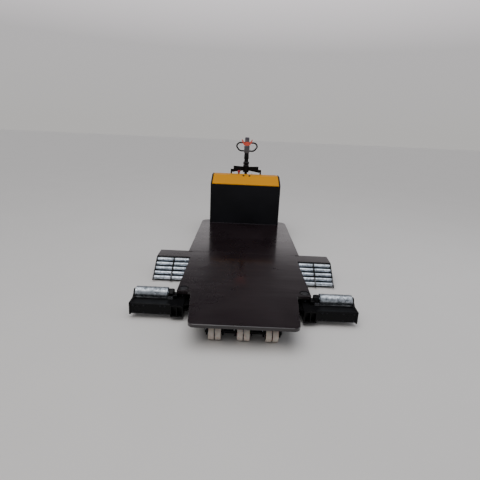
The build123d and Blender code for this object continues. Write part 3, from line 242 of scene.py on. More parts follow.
def sprayed_coat(
    name, colour, edge_wear_and_highlight_colour, film, gloss, peel_mm, peel_height, edge_wear_and_highlight_amount,
    scratched=0.0, coat=0.0, shine=0.5, dust=0.16, wave=0.0, upright_dust_and_shade=0.35,
):
    """Paint on steel: slow changes of tone, settled dust that upright faces take less of (on the deck also a
    painted shade), wiped streaks, orange peel, and edges in a second colour for worn paint and, on the lid
    and deck, a painted highlight.
    """
    values = {"IOR": 1.5, "Specular IOR Level": shine, "Coat Weight": coat, "Coat Roughness": 0.10}
    material, tree, shader, place = start_finish(name, values)

    patches = add_node(tree, "TexNoise", {"Scale": per_metre(380), "Detail": 3.0}, {"Vector": place})
    span = {"From Min": 0.35, "From Max": 0.8, "To Max": dust}
    settled = add_node(tree, "MapRange", span, {"Value": patches})
    # Dust lies on faces that look up and less on upright ones; on the deck the small upright share also keeps
    # its upright faces dark as painted shade
    level = add_node(tree, "SeparateXYZ", links={"Vector": place.node.outputs["Normal"]})
    span = {"From Min": 0.3, "From Max": 0.9, "To Min": upright_dust_and_shade}
    lying_dust_and_shade = add_node(tree, "MapRange", span, {"Value": level.outputs["Z"]})
    dust_and_shade = add_node(tree, "Math", links={0: settled, 1: lying_dust_and_shade}, operation="MULTIPLY")
    shades = {"A": rgba(colour), "B": rgba(film)}
    tone = add_node(tree, "Mix", shades, {"Factor": dust_and_shade}, data_type="RGBA")

    wiped = add_node(tree, "Mapping", {"Scale": (3.0, 0.35, 3.0)}, {"Vector": place})
    grain = {"Scale": per_metre(14), "Detail": 4.0, "Roughness": 0.65, "Distortion": 0.6}
    streaks = add_node(tree, "TexNoise", grain, {"Vector": wiped})
    span = {"From Min": 0.60, "From Max": 0.78, "To Max": scratched}
    lines = add_node(tree, "MapRange", span, {"Value": streaks})
    rubbed = add_node(tree, "Mix", {"B": rgba(film)}, {"Factor": lines, "A": tone}, data_type="RGBA")
    # Edges take the second colour: worn paint, and on the lid and the deck a painted highlight
    mask, normal = edge_wear_and_highlight_mask(tree, place, 2.2, edge_wear_and_highlight_amount)
    surface = add_node(tree, "Mix", {"B": rgba(edge_wear_and_highlight_colour)}, {"Factor": mask, "A": rubbed}, data_type="RGBA")

    span = {"From Min": 0.3, "From Max": 0.7, "To Min": gloss, "To Max": gloss + 0.16}
    rough = add_node(tree, "MapRange", span, {"Value": patches})
    rougher = add_node(tree, "Math", {1: 0.25}, {0: lines, 2: rough}, operation="MULTIPLY_ADD")

    if wave:
        across = add_node(tree, "Mapping", {"Scale": (0.6, 1.7, 1.0)}, {"Vector": place})
        swell = add_node(tree, "TexNoise", {"Scale": per_metre(260)}, {"Vector": across})
        links = {"Height": swell, "Normal": normal}
        normal = add_node(tree, "Bump", {"Strength": 1.0, "Distance": wave * MM}, links)
    peel = add_node(tree, "TexNoise", {"Scale": per_metre(peel_mm)}, {"Vector": place})
    links = {"Height": peel, "Normal": normal}
    skin = add_node(tree, "Bump", {"Strength": 0.35, "Distance": peel_height * MM}, links)

    feed(shader, {"Base Color": surface, "Roughness": rougher, "Normal": skin})
    return material


def zinc_plate(name, cloudy, bright):
    """Zinc-plated tube: bluish metal with spangle, cloudy patches and rings rubbed round the roller."""
    material, tree, shader, place = start_finish(name, {"Metallic": 1.0})
    spangle = add_node(tree, "TexVoronoi", {"Scale": per_metre(17)}, {"Vector": place}, feature="F1")
    flake = add_node(tree, "SeparateColor", links={"Color": spangle.outputs["Color"]})
    grain = {"Scale": per_metre(46), "Detail": 6.0, "Roughness": 0.65}
    cloud = add_node(tree, "TexNoise", grain, {"Vector": place})
    mottle = add_node(tree, "Math", {1: 0.45}, {0: flake, 2: cloud}, operation="MULTIPLY_ADD")
    shade = add_node(tree, "MapRange", {"From Min": 0.45, "From Max": 0.95}, {"Value": mottle})
    shades = {"A": rgba(cloudy), "B": rgba(bright)}
    metal = add_node(tree, "Mix", shades, {"Factor": shade}, data_type="RGBA")
    span = {"From Min": 0.3, "From Max": 0.8, "To Min": 0.50, "To Max": 0.38}
    rough = add_node(tree, "MapRange", span, {"Value": mottle})
    turned = add_node(tree, "Mapping", {"Scale": (1.0, 0.02, 0.02)}, {"Vector": place})
    grain = {"Scale": per_metre(2.4), "Detail": 3.0}
    rings = add_node(tree, "TexNoise", grain, {"Vector": turned})
    skin = add_node(tree, "Bump", {"Strength": 0.1, "Distance": 0.04 * MM}, {"Height": rings})
    feed(shader, {"Base Color": metal, "Roughness": rough, "Normal": skin})
    return material


def machined_metal(name, dark, light, roughness, ring_mm):
    """Bare metal from the lathe: fine rings and slight clouding."""
    material, tree, shader, place = start_finish(name, {"Metallic": 1.0})
    cloud = add_node(tree, "TexNoise", {"Scale": per_metre(22), "Detail": 5.0}, {"Vector": place})
    shades = {"A": rgba(dark), "B": rgba(light)}
    metal = add_node(tree, "Mix", shades, {"Factor": cloud}, data_type="RGBA")
    span = {"From Min": 0.3, "From Max": 0.7, "To Min": roughness, "To Max": roughness + 0.1}
    rough = add_node(tree, "MapRange", span, {"Value": cloud})
    broken = add_node(tree, "Bevel", {"Radius": 1.0 * MM}, samples=4)
    grain = {"Scale": per_metre(ring_mm) / 6.28, "Distortion": 2.0}
    rings = add_node(tree, "TexWave", grain, {"Vector": place})
    links = {"Height": rings.outputs["Fac"], "Normal": broken}
    skin = add_node(tree, "Bump", {"Strength": 0.12, "Distance": 0.05 * MM}, links)
    feed(shader, {"Base Color": metal, "Roughness": rough, "Normal": skin})
    return material


def moulded(name, colour, scuff, roughness, grain_mm, grain_height, scuffed=0.25, subsurface=0.0, shine=0.5):
    """A moulded plastic: fine spark-eroded grain, a soft shine and lighter scuffs on its edges."""
    values = {"IOR": 1.5, "Specular IOR Level": shine, "Subsurface Weight": subsurface}
    material, tree, shader, place = start_finish(name, {**values, "Subsurface Scale": 2 * MM})
    mask, normal = edge_wear_and_highlight_mask(tree, place, 1.8, scuffed)
    grain = {"Scale": per_metre(38), "Detail": 5.0, "Roughness": 0.6}
    smudge = add_node(tree, "TexNoise", grain, {"Vector": place})
    span = {"From Min": 0.45, "From Max": 0.75, "To Max": scuffed}
    haze = add_node(tree, "MapRange", span, {"Value": smudge})
    both = add_node(tree, "Math", links={0: haze, 1: mask}, operation="MAXIMUM", use_clamp=True)
    shades = {"A": rgba(colour), "B": rgba(scuff)}
    tone = add_node(tree, "Mix", shades, {"Factor": both}, data_type="RGBA")
    span = {"From Min": 0.3, "From Max": 0.7, "To Min": roughness, "To Max": roughness + 0.12}
    rough = add_node(tree, "MapRange", span, {"Value": smudge})
    sparks = add_node(tree, "TexNoise", {"Scale": per_metre(grain_mm)}, {"Vector": place})
    links = {"Height": sparks, "Normal": normal}
    skin = add_node(tree, "Bump", {"Strength": 0.4, "Distance": grain_height * MM}, links)
    feed(shader, {"Base Color": tone, "Roughness": rough, "Normal": skin})
    return material


def concrete(colour):
    """Plain studio floor: painted, matt and almost even."""
    material, tree, shader, place = start_finish("studio_floor_paint", {"Roughness": 0.62})
    mottle = add_node(tree, "TexNoise", {"Scale": per_metre(700), "Detail": 4.0}, {"Vector": place})
    shades = {"A": rgba(colour), "B": rgba([min(1.0, v * 1.06) for v in colour])}
    tone = add_node(tree, "Mix", shades, {"Factor": mottle}, data_type="RGBA")
    feed(shader, {"Base Color": tone})
    return material


FINISHES = {}


def make_finishes(colours):
    """Every finish, by the record's slot where it has one."""
    FINISHES.clear()
    FINISHES.update(
        # Gloss enamel sprayed on rolled plate: a wet brown-black shine, faint orange peel and scuffs. Its
        # paler mauve edges are partly worn paint and partly a painted highlight on the chamfers, and its
        # upright faces take little of the dust and stay darker as painted shade
        deck_black=sprayed_coat(
            "deck_gloss_enamel", colours.deck, "#4F4647", "#332429", 0.20, 7.0, 0.22, 0.2,
            scratched=0.3, coat=0.7, shine=0.4, dust=0.13, wave=3.0, upright_dust_and_shade=0.1,
        ),
        # Satin enamel on welded steel: softer shine, a little dust and bright rubbed edges
        frame_black=sprayed_coat(
            "frame_satin_enamel", colours.frame, "#454344", "#242223", 0.30, 3.0, 0.12, 0.35,
            scratched=0.15, shine=0.12,
        ),
        # Powder coat on sheet steel: satin black with the fine pebble of baked powder
        housing_black=sprayed_coat(
            "housing_powder_coat", colours.housing, "#45464B", "#2C2C33", 0.34, 1.6, 0.08, 0.3,
            scratched=0.12, shine=0.2, dust=0.26, upright_dust_and_shade=0.7,
        ),
        # Signal yellow powder coat: even colour, satin, slightly dirty where hands lift the lid; the paler
        # yellow of its edges is a painted highlight on the bends
        lid_yellow=sprayed_coat(
            "lid_powder_coat", colours.lid, "#E3B43A", "#B17A06", 0.38, 1.6, 0.07, 0.5,
            scratched=0.05, shine=0.12,
        ),
        # Grey enamel on the cast motor shell: satin, with dust lying between the ribs
        motor_grey=sprayed_coat(
            "motor_grey_enamel", "#4A4B4E", "#8A8B8D", "#6B6964", 0.38, 2.5, 0.15, 0.5, scratched=0.05
        ),
        # Black enamel brushed over sand castings: the grain of the mould shows through
        cast_black=sprayed_coat(
            "casting_black_enamel", "#111112", "#4A4844", "#2A2825", 0.42, 2.2, 0.45, 0.5,
            scratched=0.05, shine=0.25,
        ),
        # Zinc plate: bright from the bath, and dulled by use on the large rollers
        zinc=zinc_plate("zinc_plated_steel", "#8B949C", "#D6DEE6"),
        dull_zinc=zinc_plate("weathered_zinc_tube", "#666D73", "#BBC2C8"),
        # Steels from the lathe: mirror chrome, bright pins, darker oiled and blackened ones
        chrome_rod=machined_metal("hard_chrome", "#C9CACC", "#E6E7E9", 0.08, 1.5),
        pin_steel=machined_metal("turned_steel", "#77787A", "#A4A5A8", 0.26, 1.2),
        oiled_steel=machined_metal("oiled_steel", "#39393B", "#6A6A6D", 0.30, 1.2),
        black_bolt=machined_metal("blackened_steel", "#1F1F22", "#3B3B40", 0.32, 1.0),
        # Weld metal under paint: dark, with the ripples of the bead
        weld=machined_metal("weld_bead", "#232225", "#3A383B", 0.36, 3.5),
        # Cast polyurethane: waxy and a little translucent, browned where it runs
        tan_polyurethane=moulded(
            "cast_polyurethane", colours.tread, "#8C7766", 0.36, 5.0, 0.10, scuffed=0.35, subsurface=0.15
        ),
        # Moulded plastics: satin shells, glossier buttons and soft matt rubber
        battery_grey=moulded("moulded_polypropylene", "#3A3E43", "#5C6066", 0.42, 1.2, 0.05),
        black_plastic=moulded("black_nylon", "#060607", "#1C1C1E", 0.34, 1.1, 0.05, shine=0.2),
        grey_plastic=moulded("grey_abs", colours.head, "#8B8A8C", 0.34, 1.1, 0.05),
        orange_plastic=moulded("orange_nylon", colours.paddle, "#E08A72", 0.34, 1.1, 0.05),
        red_plastic=moulded("red_abs", colours.stop, "#D2605E", 0.24, 1.5, 0.03),
        dark_red=moulded("dark_red_nylon", "#5A1013", "#8E3A36", 0.36, 1.1, 0.05),
        dark_cap=moulded("dark_abs", "#3B353F", "#5B5560", 0.32, 1.1, 0.05),
        rubber=moulded("black_rubber", "#101011", "#2C2B2B", 0.6, 1.4, 0.08),
    )


# Finishes without a slot of their own, and the record's slot meant for their pieces; add_piece looks it up
# but does not set it
STAND_IN_SLOTS = {
    "black_bolt": "pin_steel",
    "dark_red": "red_plastic",
    "rubber": "black_plastic",
    "weld": "frame_black",
}

# Nodes that wear another finish than their slot's
PAINTED_ALIKE = {
    "ramp_frame_left": "deck_black",
    "ramp_frame_right": "deck_black",
    "arm_roller_left": "dull_zinc",
    "arm_roller_right": "dull_zinc",
    "pivot_pin_left": "oiled_steel",
    "pivot_pin_right": "oiled_steel",
    "steering_shaft": "cast_black",
}


# Shapes, with profiles and block sizes in millimetres


def mm(x, y, z):
    """A step given in millimetres as a vector in metres."""
    return Vector((x * MM, y * MM, z * MM))


def at(point):
    """The matrix that moves an item to a point."""
    return Matrix.Translation(point)


def facing(point, axis):
    """The matrix that sets an item made on +Z at a point, looking along an axis."""
    turn = Vector(axis).to_track_quat("Z", "Y").to_matrix().to_4x4()
    return Matrix.Translation(Vector(point)) @ turn


def joint_place(name):
    """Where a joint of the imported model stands."""
    return Vector(next(j for j in frame["joints"] if j["name"] == name)["pos_m"])


def circle(radius, count, first=0.0):
    """Points in metres evenly round a circle, from its radius in millimetres."""
    turns = [first + math.tau * number / count for number in range(count)]
    return [(radius * MM * math.cos(turn), radius * MM * math.sin(turn)) for turn in turns]


def both_ends(profile):
    """A profile's lower half with its mirror image above."""
    return profile + [(radius, -height) for radius, height in reversed(profile)]


def tidy(item):
    """Closes seams and poles and points the faces outwards."""
    bmesh.ops.remove_doubles(item, verts=item.verts, dist=0.02 * MM)
    bmesh.ops.recalc_face_normals(item, faces=item.faces)
    return item


def turned_item(profile, steps):
    """A new bmesh spun from a closed profile of (radius, height) points round +Z."""
    item = bmesh.new()
    verts = [item.verts.new((radius * MM, 0, height * MM)) for radius, height in profile]
    edges = [item.edges.new((verts[i - 1], verts[i])) for i in range(len(verts))]
    bmesh.ops.spin(
        item, geom=verts + edges, cent=(0, 0, 0), axis=UP, angle=math.tau, steps=steps, use_merge=True
    )
    return tidy(item)


def break_edges(item, edges, width, segments, clamp=False):
    """Rounds the named edges."""
    bmesh.ops.bevel(
        item, geom=edges, offset=width, affect="EDGES", segments=segments, profile=0.5, material=-1,
        clamp_overlap=clamp,
    )


def bevelled(item, width, segments=2):
    """Breaks the item's sharp edges."""
    sharp = [e for e in item.edges if len(e.link_faces) == 2 and e.calc_face_angle(0) > math.radians(40)]
    break_edges(item, sharp, width, segments, clamp=True)
    return item


def block_item(size, bevel=0.0, segments=2):
    """A new bmesh of a block, with broken edges where a bevel is given."""
    item = bmesh.new()
    bmesh.ops.create_cube(item, size=1.0)
    bmesh.ops.scale(item, vec=mm(*size), verts=item.verts)
    return bevelled(item, bevel * MM, segments) if bevel else item


def rounded_post(size, corner, rim, foot=(1, 1), head=(1, 1), ends=(-1, 1)):
    """A post with round corners and rims, each a radius and its steps, and a foot or head made narrower."""
    item = block_item(size)
    for vert in item.verts:
        wide, deep = head if vert.co.z > 0 else foot
        vert.co.x *= wide
        vert.co.y *= deep
    upright = [e for e in item.edges if abs(e.verts[0].co.z - e.verts[1].co.z) > 10 * MM]
    break_edges(item, upright, corner[0] * MM, corner[1])
    reach = (size[2] / 2 - 1) * MM
    rims = [e for e in item.edges for end in ends if min(v.co.z * end for v in e.verts) > reach]
    break_edges(item, rims, rim[0] * MM, rim[1])
    return tidy(item)


def prism(item, sides, foot, top, depth, place=Matrix.Identity(4)):
    """Adds a prism or a fine-sided cylinder to the item."""
    bmesh.ops.create_cone(
        item, cap_ends=True, segments=sides, radius1=foot, radius2=top, depth=depth, matrix=place
    )
    return item


def new_verts(geometry):
    """The vertices among what an operator made."""
    return [v for v in geometry if isinstance(v, bmesh.types.BMVert)]


def new_edges(geometry):
    """The edges among what an operator made."""
    return [e for e in geometry if isinstance(e, bmesh.types.BMEdge)]


def socket_screw(radius, height):
    """A cap screw's head on +Z with its hexagon socket."""
    item = bmesh.new()
    rim = bmesh.ops.create_circle(item, segments=24, radius=radius * 0.9)["verts"]
    key = bmesh.ops.create_circle(item, segments=6, radius=radius * 0.52)["verts"]
    bmesh.ops.bridge_loops(item, edges=list({e for v in rim + key for e in v.link_edges}))
    bmesh.ops.translate(item, vec=(0, 0, height), verts=item.verts)
    rims = [e for e in item.edges if e.is_boundary]
    outer = [e for e in rims if e.verts[0].co.to_2d().length > radius * 0.8]
    inner = [e for e in rims if e.verts[0].co.to_2d().length < radius * 0.8]
    shoulder = bmesh.ops.extrude_edge_only(item, edges=outer)["geom"]
    bmesh.ops.scale(item, vec=(1 / 0.9, 1 / 0.9, 1), verts=new_verts(shoulder))
    bmesh.ops.translate(item, vec=(0, 0, -radius * 0.1), verts=new_verts(shoulder))
    skirt = bmesh.ops.extrude_edge_only(item, edges=new_edges(shoulder))["geom"]
    for vert in new_verts(skirt):
        vert.co.z = 0
    well = bmesh.ops.extrude_edge_only(item, edges=inner)["geom"]
    bmesh.ops.translate(item, vec=(0, 0, -height * 0.6), verts=new_verts(well))
    bmesh.ops.contextual_create(item, geom=new_edges(well))
    return tidy(item)


def hexagon_bolt(radius, height):
    """A hexagon head on +Z with its washer."""
    item = bmesh.new()
    prism(item, 6, radius, radius, height, at((0, 0, height / 2 + 1.6 * MM)))
    bevelled(item, radius * 0.12, 2)
    prism(item, 28, radius * 1.25, radius * 1.22, 1.8 * MM, at((0, 0, 0.9 * MM)))
    return tidy(item)


def add_piece(name, finish, body, *parts, smooth=32, slot=None):
    """One piece of parts, each an item and its places, with its finish, riding on its body."""
    bm = bmesh.new()
    for item, places in parts:
        part = bpy.data.meshes.new("part")
        item.to_mesh(part)
        item.free()
        for place in places:
            copy = part.copy()
            copy.transform(place)
            bm.from_mesh(copy)
            bpy.data.meshes.remove(copy)
        bpy.data.meshes.remove(part)
    mesh = bpy.data.meshes.new(name)
    bm.to_mesh(mesh)
    bm.free()
    mesh.shade_smooth()
    mesh.set_sharp_from_angle(angle=math.radians(smooth))
    mesh.materials.append(FINISHES[finish])
    piece = bpy.data.objects.new(name, mesh)
    bpy.context.scene.collection.objects.link(piece)
    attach(piece, body)
    slot = slot or STAND_IN_SLOTS.get(finish, finish)
    return piece


def screws_on(name, body, places, radius, height):
    """One piece of blackened cap screws at the given places."""
    return add_piece(name, "black_bolt", body, (socket_screw(radius, height), places))


def bolts_on(name, body, places, radius):
    """One piece of bright hexagon bolts at the given places."""
    return add_piece(name, "pin_steel", body, (hexagon_bolt(radius, radius * 0.75), places))


def weld_runs(name, body, runs, radius):
    """One piece of round weld beads along straight runs, each a start and an end in millimetres."""
    beads = []
    for start, end in runs:
        start, end = mm(*start), mm(*end)
        bead = bmesh.new()
        bmesh.ops.create_circle(bead, cap_ends=True, segments=10, radius=radius)
        cap = bmesh.ops.extrude_face_region(bead, geom=list(bead.faces))["geom"]
        bmesh.ops.translate(bead, vec=(0, 0, (end - start).length), verts=new_verts(cap))
        beads.append((tidy(bead), [facing(start, end - start)]))
    return add_piece(name, "weld", body, *beads, smooth=50)


def wheel_pieces(body, places, steps, parts):
    """The turned parts of a wheel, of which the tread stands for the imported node."""
    for part, finish, profile in parts:
        piece = add_piece(f"{body}_{part}", finish, body, (turned_item(profile, steps), places))
        if part == "tread":
            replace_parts(piece, body)


def make_wheel(body, centres, radius, width, tread, bore, steps):
    """A wheel as cast tread on an iron core with a sealed bearing, at one or more centres along X."""
    side = -width / 2
    inner = radius - tread
    edge = tread * 0.15
    hub = bore + (inner - bore) * 0.42
    tyre = [(inner, side + 1), (radius - edge, side), (radius - edge * 0.35, side + edge * 0.25)]
    tyre += [(radius - 0.4, side + edge), (radius, side * 0.45)]
    core = [(inner + 0.3, side + 0.5), (inner - 4, side + 0.5), (inner - 6, side + 5), (hub + 3, side + 6)]
    core += [(hub, side + 2), (hub - 3, side + 1), (bore + 5, side + 1)]
    bearing = [(bore + 0.2, side + 1.5), (bore + 2, side + 1.2), (bore + 5, side + 2.2)]
    parts = (
        ("tread", "tan_polyurethane", both_ends(tyre)),
        ("core", "cast_black", both_ends(core)),
        ("bearing", "pin_steel", both_ends(bearing)),
    )
    wheel_pieces(body, [facing(centre, ALONG) for centre in centres], steps, parts)


# Operators


class TRACTOR_OT_finishes(Operator):
    """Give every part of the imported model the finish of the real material"""

    bl_idname = "tractor.finishes"
    bl_label = "Finishes"

    def execute(self, context):
        make_finishes(context.scene.tractor_colours)
        for subpart in frame["record"]["subparts"]:
            mesh = frame["nodes"][subpart["node"]].data
            mesh.materials.clear()
            mesh.materials.append(FINISHES[PAINTED_ALIKE.get(subpart["node"], subpart["material_slot"])])
        return {"FINISHED"}


class TRACTOR_OT_front_wheels(Operator):
    """Make the three twin load wheels under the tongue"""

    bl_idname = "tractor.front_wheels"
    bl_label = "Front Wheels"

    def execute(self, context):
        steps = context.scene.tractor_sizes.wheel_steps
        for place in FRONT_WHEELS:
            body = f"front_wheels_{place}"
            axle = joint_place(f"{body}_roll")
            low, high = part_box(body)
            shift = Vector(((high[0] - low[0]) / 2 - 22.5 * MM, 0, 0))
            make_wheel(body, [axle - shift, axle + shift], axle.z / MM, 40, 12, 15, steps)
            spacer = turned_item(both_ends([(16, -4), (26, -4)]), steps)
            add_piece(f"{body}_spacer", "pin_steel", body, (spacer, [facing(axle, ALONG)]))
        return {"FINISHED"}


class TRACTOR_OT_rear_wheels(Operator):
    """Make the castor wheels and the dished drive wheel with its nuts"""

    bl_idname = "tractor.rear_wheels"
    bl_label = "Rear Wheels"

    def execute(self, context):
        steps = context.scene.tractor_sizes.wheel_steps
        for side in SIDES:
            body = f"castor_wheel_{side}"
            make_wheel(body, [joint_place(f"{body}_roll")], 80, 42, 14, 8, steps)
        axle = joint_place("drive_wheel_roll")
        tyre = both_ends([(105.5, -37), (119, -38), (123, -36), (124.8, -32), (125, -18)])
        disc = [(106, -36), (96, -36), (93, -33), (90, -18), (84, -14), (52, -14), (46, -17), (18, -17)]
        disc += [(18, 37), (106, 37)]
        parts = (("tread", "tan_polyurethane", tyre), ("disc", "cast_black", disc))
        wheel_pieces("drive_wheel", [facing(axle, ALONG)], steps + 24, parts)
        nuts = [facing(axle + Vector((-14 * MM, y, z)), (-1, 0, 0)) for y, z in circle(34, 7)]
        bolts_on("drive_wheel_nuts", "drive_wheel", nuts, 8 * MM)
        return {"FINISHED"}


class TRACTOR_OT_wheel_carrier(Operator):
    """Add the axle keepers and their bright bolts on the wheel forks"""

    bl_idname = "tractor.wheel_carrier"
    bl_label = "Wheel Carrier"

    def execute(self, context):
        keepers, bolts = [], []
        for place in FRONT_WHEELS:
            face = joint_place(f"front_wheels_{place}_roll") + mm(-FORK_FACE, -4, 0)
            keepers.append(at(face + mm(-2.5, 0, 44)))
            bolts += [facing(face + mm(-5, 0, z), (-1, 0, 0)) for z in (30, 58)]
        add_piece("axle_keepers", "zinc", "chassis", (block_item((5, 26, 58), bevel=1.2), keepers))
        bolts_on("axle_keeper_bolts", "chassis", bolts, 7 * MM)
        return {"FINISHED"}


class TRACTOR_OT_arms(Operator):
    """Add the covers' screws and plugs, the rollers' bearings, the guards, a dark flange behind each beam as
    painted shade, the nipples and the eyes' clips
    """

    bl_idname = "tractor.arms"
    bl_label = "Arms"

    def execute(self, context):
        sizes = context.scene.tractor_sizes
        for side, sign in SIDES.items():
            arm = f"arm_{side}"
            pivot = joint_place(f"{arm}_swing")
            low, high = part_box(f"arm_cover_{side}")
            inner = low[0] if sign > 0 else high[0]
            places = []
            for z in (low[2] + 10 * MM, high[2] - 10 * MM):
                places += [facing((inner + sign * x * MM, low[1], z), TO_FRONT) for x in COVER_SCREWS]
            screws_on(f"cover_screws_{side}", arm, places, sizes.screw_radius, 3 * MM)
            plug = turned_item([(0, 0), (21, 0), (21, 1.5), (19, 3), (15, 3), (13, 1.6), (0, 1.6)], 40)
            spot = facing((inner + sign * COVER_PLUG[0] * MM, low[1], COVER_PLUG[1] * MM), TO_FRONT)
            add_piece(f"cover_plug_{side}", "frame_black", arm, (plug, [spot]))

            roller = f"arm_roller_{side}"
            start = joint_place(f"{roller}_roll")
            far = start + mm(sign * (ROLLER_TUBE - 3), 0, 0)
            ends = [facing(start + mm(sign * 3, 0, 0), (sign, 0, 0)), facing(far, (-sign, 0, 0))]
            seal = turned_item([(14.5, 0), (27, 0), (28, 1.5), (30, 2), (30, 5), (14.5, 5)], 40)
            race = turned_item([(29.5, 0), (37.5, 0), (37.5, 5.5), (29.5, 5.5)], 48)
            add_piece(f"roller_seals_{side}", "rubber", roller, (seal, ends))
            add_piece(f"roller_races_{side}", "pin_steel", roller, (race, ends))

            # A dark flange on the back of the beam's top fills the gap under the roller: painted shade,
            # standing for the shade in that gap
            tip = pivot.x + sign * ARM_TIP * MM
            shade_flange = block_item((abs(tip - inner) / MM + 4, 27, 5.6), bevel=1.2)
            middle = ((tip + inner) / 2 - sign * 2 * MM, pivot.y - (ARM_BACK - 2.5) * MM, 125.2 * MM)
            neck = block_item((34, 62, 30), bevel=4, segments=3)
            nape = (pivot.x + sign * 55.5 * MM, pivot.y - 40 * MM, 142 * MM)
            parts = ((shade_flange, [at(middle)]), (neck, [at(nape)]))
            add_piece(f"arm_guards_and_shade_flanges_{side}", "frame_black", arm, *parts)

            shell = prism(
                bmesh.new(), 6, 37 * MM, 37 * MM, 27 * MM, Matrix.Rotation(math.radians(-14), 4, "Z")
            )
            ring = turned_item(both_ends([(24, -3), (33, -3), (34, -2)]), 48)
            rings = [facing(start - mm(sign * x, 0, 0), (sign, 0, 0)) for x in (10.5, 41.5)]
            drum = (bevelled(shell, 2.4 * MM, 3), [facing(start - mm(sign * 26, 0, 0), (sign, 0, 0))])
            add_piece(f"bearing_drum_{side}", "frame_black", arm, drum, (ring, rings))

            bearing = start.x - sign * BEARING_MIDDLE * MM
            profile = [(0, 0), (4.5, 0), (4.5, 3), (2.2, 5), (3, 7), (1.6, 9), (0, 9)]
            spots = [
                facing((bearing, start.y - 6 * MM, start.z + 31 * MM), (0, -0.2, 1)),
                facing((pivot.x, pivot.y - 49.5 * MM, 146 * MM), TO_FRONT),
            ]
            add_piece(f"grease_nipples_{side}", "black_bolt", arm, (turned_item(profile, 16), spots))
            crown = (start.y - 43 * MM, 137 * MM)
            clamps = [facing((bearing + x * MM, *crown), (0, -18, 32)) for x in (-11, 11)]
            screws_on(f"bearing_screws_{side}", arm, clamps, 5 * MM, 4 * MM)

            clip = turned_item([(6.5, 0), (10.4, 0), (10.4, 1.6), (6.5, 1.6)], 28)
            eye = (pivot.x - sign * ROD_EYE[0] * MM, pivot.y - ARM_BACK * MM, ROD_EYE[1] * MM)
            add_piece(f"eye_clip_{side}", "pin_steel", arm, (clip, [facing(eye, UP)]))
        return {"FINISHED"}


class TRACTOR_OT_pivots(Operator):
    """Add the countersunk screws of the sunk pivot caps, and a black ring round each cap that is painted
    shade for the gap of its counterbore
    """

    bl_idname = "tractor.pivots"
    bl_label = "Pivot Caps"

    def execute(self, context):
        for side in SIDES:
            pin = joint_place(f"arm_{side}_swing")
            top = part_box(f"pivot_pin_{side}")[1][2]
            sunk = top - 0.6 * MM
            places = [facing((pin.x + x, pin.y + y, sunk), UP) for x, y in circle(24, 3, math.pi / 2)]
            screws_on(f"cap_screws_{side}", "chassis", places, 5.5 * MM, 1.8 * MM)
            # Black ring over the rim of the cap's counterbore: painted shade, standing for the dark gap round
            # the cap
            profile = [(30, -1), (30, 0.6), (33, 1.8), (40, 2.6), (43, 2.2), (43, 1.6), (39, -1)]
            seal = (turned_item(profile, 72), [at((pin.x, pin.y, top))])
            add_piece(f"pivot_shade_ring_{side}", "frame_black", "chassis", seal, slot="black_plastic")
        return {"FINISHED"}


class TRACTOR_OT_ramps(Operator):
    """Add the ramp rollers' seals and clips, and the rails, the dark sheets under the rollers as painted
    shade, and the welds of the ramps
    """

    bl_idname = "tractor.ramps"
    bl_label = "Roller Ramps"

    def execute(self, context):
        radius = context.scene.tractor_sizes.bead_radius
        for side, sign in SIDES.items():
            for row in range(1, 6):
                body = f"ramp_rollers_{side}_{row}"
                axle = joint_place(f"{body}_roll")
                seal = turned_item([(7, 0), (15, 0), (15, 1.6), (7, 1.6)], 24)
                spots = []
                for x, look in ROLLER_ENDS:
                    spots.append(facing((sign * x * MM, axle.y, axle.z), (sign * look, 0, 0)))
                add_piece(f"{body}_seals", "rubber", body, (seal, spots))
                profile = [(0, 0), (5.5, 0), (5.5, 2), (10, 2), (10, 3.4), (4.5, 3.4), (3.5, 5), (0, 5)]
                spot = facing((sign * SPINDLE_END * MM, axle.y, axle.z), (sign, 0, 0))
                add_piece(f"{body}_clip", "pin_steel", body, (turned_item(profile, 24), [spot]))

            first = joint_place(f"ramp_rollers_{side}_1_roll")
            last = joint_place(f"ramp_rollers_{side}_5_roll")
            middle = (first + last) / 2
            length = (last - first).length / MM
            fall = (last - first).normalized()
            up = Vector((0, fall.z, -fall.y))
            slope = Matrix.Rotation(-math.atan2(up.y, up.z), 4, "X")

            def on_slope(x, spot, down, above):
                """A place on the sloping rows of rollers, further down them and above their axles."""
                centre = Vector((sign * x * MM, spot.y, spot.z))
                return [at(centre + up * above * MM + fall * down * MM) @ slope]

            rails = []
            for x, wide in RAMP_RAILS:
                rails.append((block_item((wide, length + 66, 15), bevel=1.5), on_slope(x, middle, 4, 8.5)))
            rails.append((block_item((316, 8, 12), bevel=1), on_slope(699, first, -23.5, 8)))
            add_piece(f"ramp_rails_{side}", "frame_black", "chassis", *rails)
            # Dark sheets under the rollers: painted shade, so the gaps between the rollers read dark
            shade_sheets = []
            for near, far in RAMP_SHADE_SHEETS:
                shade_sheet = block_item((far - near, length + 40, 3), bevel=0.8)
                shade_sheets.append((shade_sheet, on_slope((near + far) / 2, middle, -2, -23)))
            add_piece(f"ramp_shade_sheets_{side}", "frame_black", "chassis", *shade_sheets)

            low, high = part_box(f"ramp_frame_{side}")
            front, back = low[1] / MM, high[1] / MM
            foot, top = sign * RAMP_FOOT, DECK_UNDERSIDE + 2
            runs = [
                ((foot, front + 205, top), (foot, back - 2, top)),
                ((sign * 545, back - 8, DECK_UNDERSIDE), (sign * 855, back - 8, DECK_UNDERSIDE)),
            ]
            for x in (686, 694, 857):
                runs.append(((sign * x, back - 10, top), (sign * x, back - 160, top)))
            weld_runs(f"ramp_welds_{side}", "chassis", runs, radius * 0.8)
        return {"FINISHED"}


